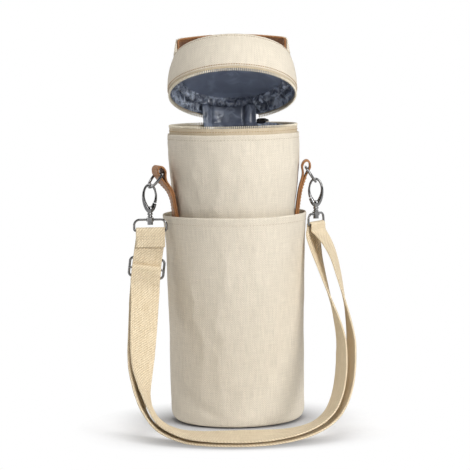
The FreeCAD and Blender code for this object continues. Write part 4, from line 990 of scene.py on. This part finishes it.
def hingeSheet(name, low, high, edges, depth, material, node, cut, count=34, wide=60):
    points, uvs = [], []
    for t in np.linspace(0, 1, count):
        for x in np.linspace(*edges(t), wide):
            a, b = low(x), high(x)
            spot = a + (b - a) * t
            spot[1] += depth(x, t)
            points.append(spot)
            uvs.append((x, t * cut[1] / mm))
    piece = meshPiece(name, points, gridFaces(count, wide), material, uvs)
    cloth = piece.modifiers.new("cloth", "SOLIDIFY")
    cloth.thickness = 0.0007
    cloth.offset = 0
    applyModifiers(piece)
    tuple(low(0) * mm)
    tuple(high(0) * mm)
    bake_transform(piece)
    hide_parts(node)


# folds of the flap: mm deep, place across, mm wide
flapFolds = ((2.6, -23, 1.7), (2.8, 11.5, 1.5), (-1.4, -27.5, 2.2), (-1.6, 16.5, 3.0))


def flapDepth(x, t):
    fold = sum(deep * dent(x, spot, width) for deep, spot, width in flapFolds)
    edge = 3.0 * max(0.0, (abs(x + 4) - 25.5) / 4) * max(0.0, t - 0.5)
    roll = -1.8 * dent(t, 0.1, 0.07) - 1.2 * sin(pi * t)
    return fold * min(1.0, 3 * t + 0.25) + edge + roll + 0.7 * noise.noise(Vector((x / 7, t * 3, 1.3)))


def panelDepth(x, t):
    return 0.8 * sin(pi * t) + 0.4 * noise.noise(Vector((x / 6, t * 4, 7.0)))


hingeSheet("hingeLining", onBody(61.6, 303.6), onLid(58.6, 14.4), lambda t: (-31 - 2 * t, 25 - t), flapDepth,
           flapLining, "hinge_lining", (0.069, 0.024))
hingeSheet("hingePanel", onBody(67.2, 298.5), onLid(67.2, 8.0), lambda t: (-20, 20), panelDepth,
           canvas, "hinge_panel", (0.041, 0.020))

# lining let in beside the hinge, folded down over the tape
gussetShape = {"from": 72, "sweep": 38, "foot": 301.5, "top": 308.9, "fall": 2.2, "reach": 64.9, "belly": 1.3,
               "uneven": 0.3, "grid": (40, 9)}
points = []
for t in np.linspace(0, 1, gussetShape["grid"][0]):
    angle = radians(gussetShape["from"] - gussetShape["sweep"] * t)
    foot, uneven = gussetShape["foot"], gussetShape["uneven"]
    top = gussetShape["top"] - gussetShape["fall"] * t ** 2 + uneven * noise.noise(Vector((t * 9, 0, 4)))
    for k in np.linspace(0, 1, gussetShape["grid"][1]):
        r = gussetShape["reach"] - gussetShape["belly"] * sin(pi * k * 0.8)
        r += uneven * noise.noise(Vector((t * 12, k * 2, 8)))
        points.append((r * cos(angle), r * sin(angle), foot + (top - foot) * k))
gusset = meshPiece("hingeGusset", points, gridFaces(*gussetShape["grid"]), crushedLining, body="carrier", slot="lining")
print("hinge cloth placed")

# leather side tabs, doubled round the rings
tabs = {
    "Left": {"azimuth": 200.0, "lean": 19.5, "bow": 4.0, "face": 189.0},
    "Right": {"azimuth": 0.0, "lean": 11.8, "bow": 1.4, "face": 0.0},
}
tabShape = {"wall": 62.8, "foot": 180.0, "low": 198.0, "bend": 214.0, "stem": 50.0, "width": 20.0, "thick": 2.0,
            "turnFrom": 205.0, "turnOver": 45.0, "seam": 8.3}


def tabAcross(tab, heights):
    share = np.clip((heights - tabShape["turnFrom"]) / tabShape["turnOver"], 0, 1)
    facing = np.radians(tab["face"] + (tab["azimuth"] - tab["face"]) * np.abs(2 * share - 1) ** 1.5)
    return np.stack([-np.sin(facing), np.cos(facing), np.zeros(len(heights))], 1)


for hand, tab in tabs.items():
    lean, turn = radians(tab["lean"]), radians(tab["azimuth"])
    up = np.array([sin(lean), cos(lean)])
    out = np.array([cos(lean), -sin(lean)])
    foot = np.array([tabShape["wall"] + 2.0, tabShape["bend"]])
    loop = foot + up * tabShape["stem"]
    middle = foot + up * tabShape["stem"] * 0.48 - out * tab["bow"]
    inside = [np.array([foot[0] - 1, tabShape["foot"]]), np.array([foot[0] - 1, tabShape["low"]]),
              foot - out + (0, -2), middle - out * 1.05, loop - up * 9 - out * 1.5]
    over = [loop + up * (1.0 + 6.2 * sin(a)) - out * 4.0 * cos(a)
            for a in np.linspace(-0.2, pi + 0.2, 11)]
    outside = [loop - up * 9 + out * 1.3, middle + out * 1.0, foot + out + (0, -2),
               np.array([foot[0] + 1.05, tabShape["low"]]), np.array([foot[0] + 1.05, tabShape["foot"]])]
    line = smoothLine(inside + over + outside, 1.4)
    c, s = cos(turn), sin(turn)
    points = np.array([(r * c, r * s, z) for r, z in line])
    ribbonPiece(f"sideTab{hand}", points, tabAcross(tab, line[:, 1]), tabShape["width"], tabShape["thick"], tanLeather,
                body="carrier", replaced=(f"side_tab_{hand.lower()}",), slot="leather")
    seamLine = smoothLine([loop - up * 10 + out * 2.5, middle + out * 2.1, foot + out * 2.1], 1.0)
    sideways = tabAcross(tab, seamLine[:, 1])
    spine = np.array([(r * c, r * s, z) for r, z in seamLine])
    for k, offset in enumerate((-tabShape["seam"], tabShape["seam"])):
        stitchRow(f"sideTab{hand}Stitch{k}", spine + sideways * offset, (out[0] * c, out[0] * s, out[1]),
                  tanThread, "carrier", gap=1.0)
print("side tabs folded")

# swivel hooks: almond ring with a sprung gate on the bag's side, ribbed neck on the rivet
hookShape = {
    "length": 35.2, "half": 8.2,
    # across share, height share, half width in its plane and half depth, from the foot up one side to the top
    "side": [(0.10, 0.19, 2.4, 2.5), (0.38, 0.27, 2.5, 2.4), (0.64, 0.40, 2.15, 2.15), (0.79, 0.53, 1.7, 1.9),
             (0.82, 0.66, 1.4, 1.75), (0.71, 0.80, 1.25, 1.6), (0.43, 0.915, 1.2, 1.55), (0.0, 0.963, 1.25, 1.55)],
    "neck": [(0.05, 0.0), (2.3, 0.0), (2.65, 0.4), (2.65, 1.2), (2.1, 1.7), (2.1, 2.3), (2.9, 2.9), (3.0, 3.7),
             (2.4, 4.3), (2.7, 5.6), (3.3, 7.0), (3.4, 9.0), (2.6, 11.0), (0.05, 11.6)],
    "neckDepth": 0.85, "neckSides": 25, "gateFrom": 0.40, "gateTo": 0.80, "gateStart": 4, "gateWide": 0.82,
    "gateDeep": 0.72,
}


def hookSpots(rows):
    spots = smoothLine(rows, 0.02)
    x, z = spots[:, 0] * hookShape["half"], spots[:, 1] * hookShape["length"]
    return np.stack([x, np.zeros(len(spots)), z], 1), spots[:, 2], spots[:, 3]


for hand, tab in tabs.items():
    name = hand.lower()
    origin = centreOf(f"swivel_rivet_{name}")
    origin[2] = heightsOf(f"swivel_rivet_{name}")[1]
    turn = radians(tab["azimuth"])
    right = hookShape["side"]
    left = [(-x, z, w, d) for x, z, w, d in right]
    above = [row for row in left if row[1] >= hookShape["gateTo"]]
    below = [row for row in left if row[1] <= hookShape["gateFrom"]]
    points, wide, deep = hookSpots(below[::-1] + right + above[-2::-1])
    points, spin = spun(points, origin, turn)
    tubePiece(f"hook{hand}", points, spin @ (0, 1, 0), wide, deep, nickel,
              body=f"hook_{name}", replaced=(f"hook_{name}",), slot="dark_nickel")
    gateRows = [row for row in left if hookShape["gateFrom"] <= row[1] <= hookShape["gateTo"]]
    points, wide, deep = (spots[hookShape["gateStart"]:] for spots in hookSpots(gateRows))
    points, spin = spun(points, origin, turn)
    wide, deep = wide * hookShape["gateWide"], deep * hookShape["gateDeep"]
    tubePiece(f"gate{hand}", points, spin @ (0, 1, 0), wide, deep, nickel,
              body=f"gate_{name}", replaced=(f"gate_{name}",), slot="dark_nickel")
    neckLine = smoothLine(hookShape["neck"], 0.5)
    turns = np.linspace(0, tau, hookShape["neckSides"])
    neck = [(r * cos(t), r * sin(t) * hookShape["neckDepth"], z) for t in turns for r, z in neckLine]
    points, spin = spun(neck, origin, turn)
    meshPiece(f"hookNeck{hand}", points, gridFaces(len(turns), len(neckLine)), nickel,
              body=f"hook_{name}", slot="dark_nickel")
print("hooks shaped")


# flat pads with rounded edges, from an outline. Rings: swell of the outline, depth share
padRings = [(0.05, 0.5), (0.55, 0.5), (0.86, 0.46), (0.97, 0.3), (1.0, 0.0), (0.97, -0.3), (0.86, -0.46),
            (0.55, -0.5), (0.05, -0.5)]


def padPiece(name, outline, thick, place, material, body, replaced, slot):
    outline = np.asarray(outline, float)
    middle = outline.mean(0)
    closed = np.vstack([outline, outline[:1]])
    points = [place(*(middle + (spot - middle) * swell), depth * thick) for swell, depth in padRings for spot in closed]
    return meshPiece(name, points, gridFaces(len(padRings), len(closed)), material,
                     body=body, replaced=(replaced,), slot=slot)


def roundedOutline(wide, high, widePower, highPower, count):
    turns = [(cos(t), sin(t)) for t in np.linspace(0, tau, count + 1)[:-1]]
    return [(wide * copysign(abs(c) ** widePower, c), high * copysign(abs(s) ** highPower, s))
            for c, s in turns]


# slider: two plates and the web between them, set on the zip's round
slider = centreOf("zip_slider")
sliderTurn = atan2(slider[1], slider[0]) + 0.03
sliderMiddle = sum(heightsOf("zip_slider")) / 2 + 0.5
plate = roundedOutline(5.6, 3.0, 0.7, 0.7, 32)
web = [(4.6 * cos(t), 0.28 * sin(t) + 0.23) for t in np.linspace(0, tau, 21)[:-1]]


def onRound(radius, start, middle, turnRadius):
    def place(side, height, depth):
        angle = start + side / turnRadius
        return (radius + depth) * cos(angle), (radius + depth) * sin(angle), middle + height
    return place


for name, outline, thick, radius in (
    ("sliderInner", plate, 1.3, 64.1), ("sliderOuter", plate, 1.3, 67.95), ("sliderWeb", web, 3.6, 66.05),
):
    padPiece(name, outline, thick, onRound(radius, sliderTurn, sliderMiddle, 66.0), gunMetal,
             "zip_slider", "zip_slider", "dark_nickel")

# its pull, a dark leather tongue
pull = centreOf("zip_pull_tab")
pullLow, pullHigh = heightsOf("zip_pull_tab")
tongue = roundedOutline(3.5, (pullHigh - pullLow) / 2, 0.6, 0.45, 40)
outward = np.array([cos(sliderTurn), sin(sliderTurn), 0])
aside = np.array([-sin(sliderTurn), cos(sliderTurn), 0])


def onPull(side, height, depth):
    return pull + aside * side + outward * depth + np.array((0, 0, height))


padPiece("pullTab", tongue, 2.0, onPull, darkLeather, "zip_pull", "zip_pull_tab", "pull_leather")
pullSeam = [onPull(x * 0.72, z * 0.9, 1.02) for x, z in tongue + tongue[:1]]
stitchRow("pullStitch", pullSeam, outward, tanThread, "zip_pull", length=1.4, gap=0.7, radius=0.18)

# leather stop at the zip's end
endTurn = radians(-90 - zipLook["arc"] / 2 + 2.4)
padPiece("zipEndTab", roundedOutline(2.9, 2.6, 0.4, 0.4, 28), 1.2, onRound(63.4, endTurn, 8.0, 63.4), tanLeather,
         "lid", "zip_end_tab", "leather")
print("zip dressed")

# metal that stays as it was turned and bent
bareMetal = ("ring_", "eye_", "swivel_", "gate_pin", "gate_spring", "adjuster_frame", "adjuster_bar", "zip_pull_lug",
             "zip_pull_bail")
for name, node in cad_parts.items():
    if name.startswith(bareMetal):
        node.data.materials.clear()
        node.data.materials.append(nickel)
        node.data.polygons.foreach_set("use_smooth", [True] * len(node.data.polygons))
print("hardware finished")
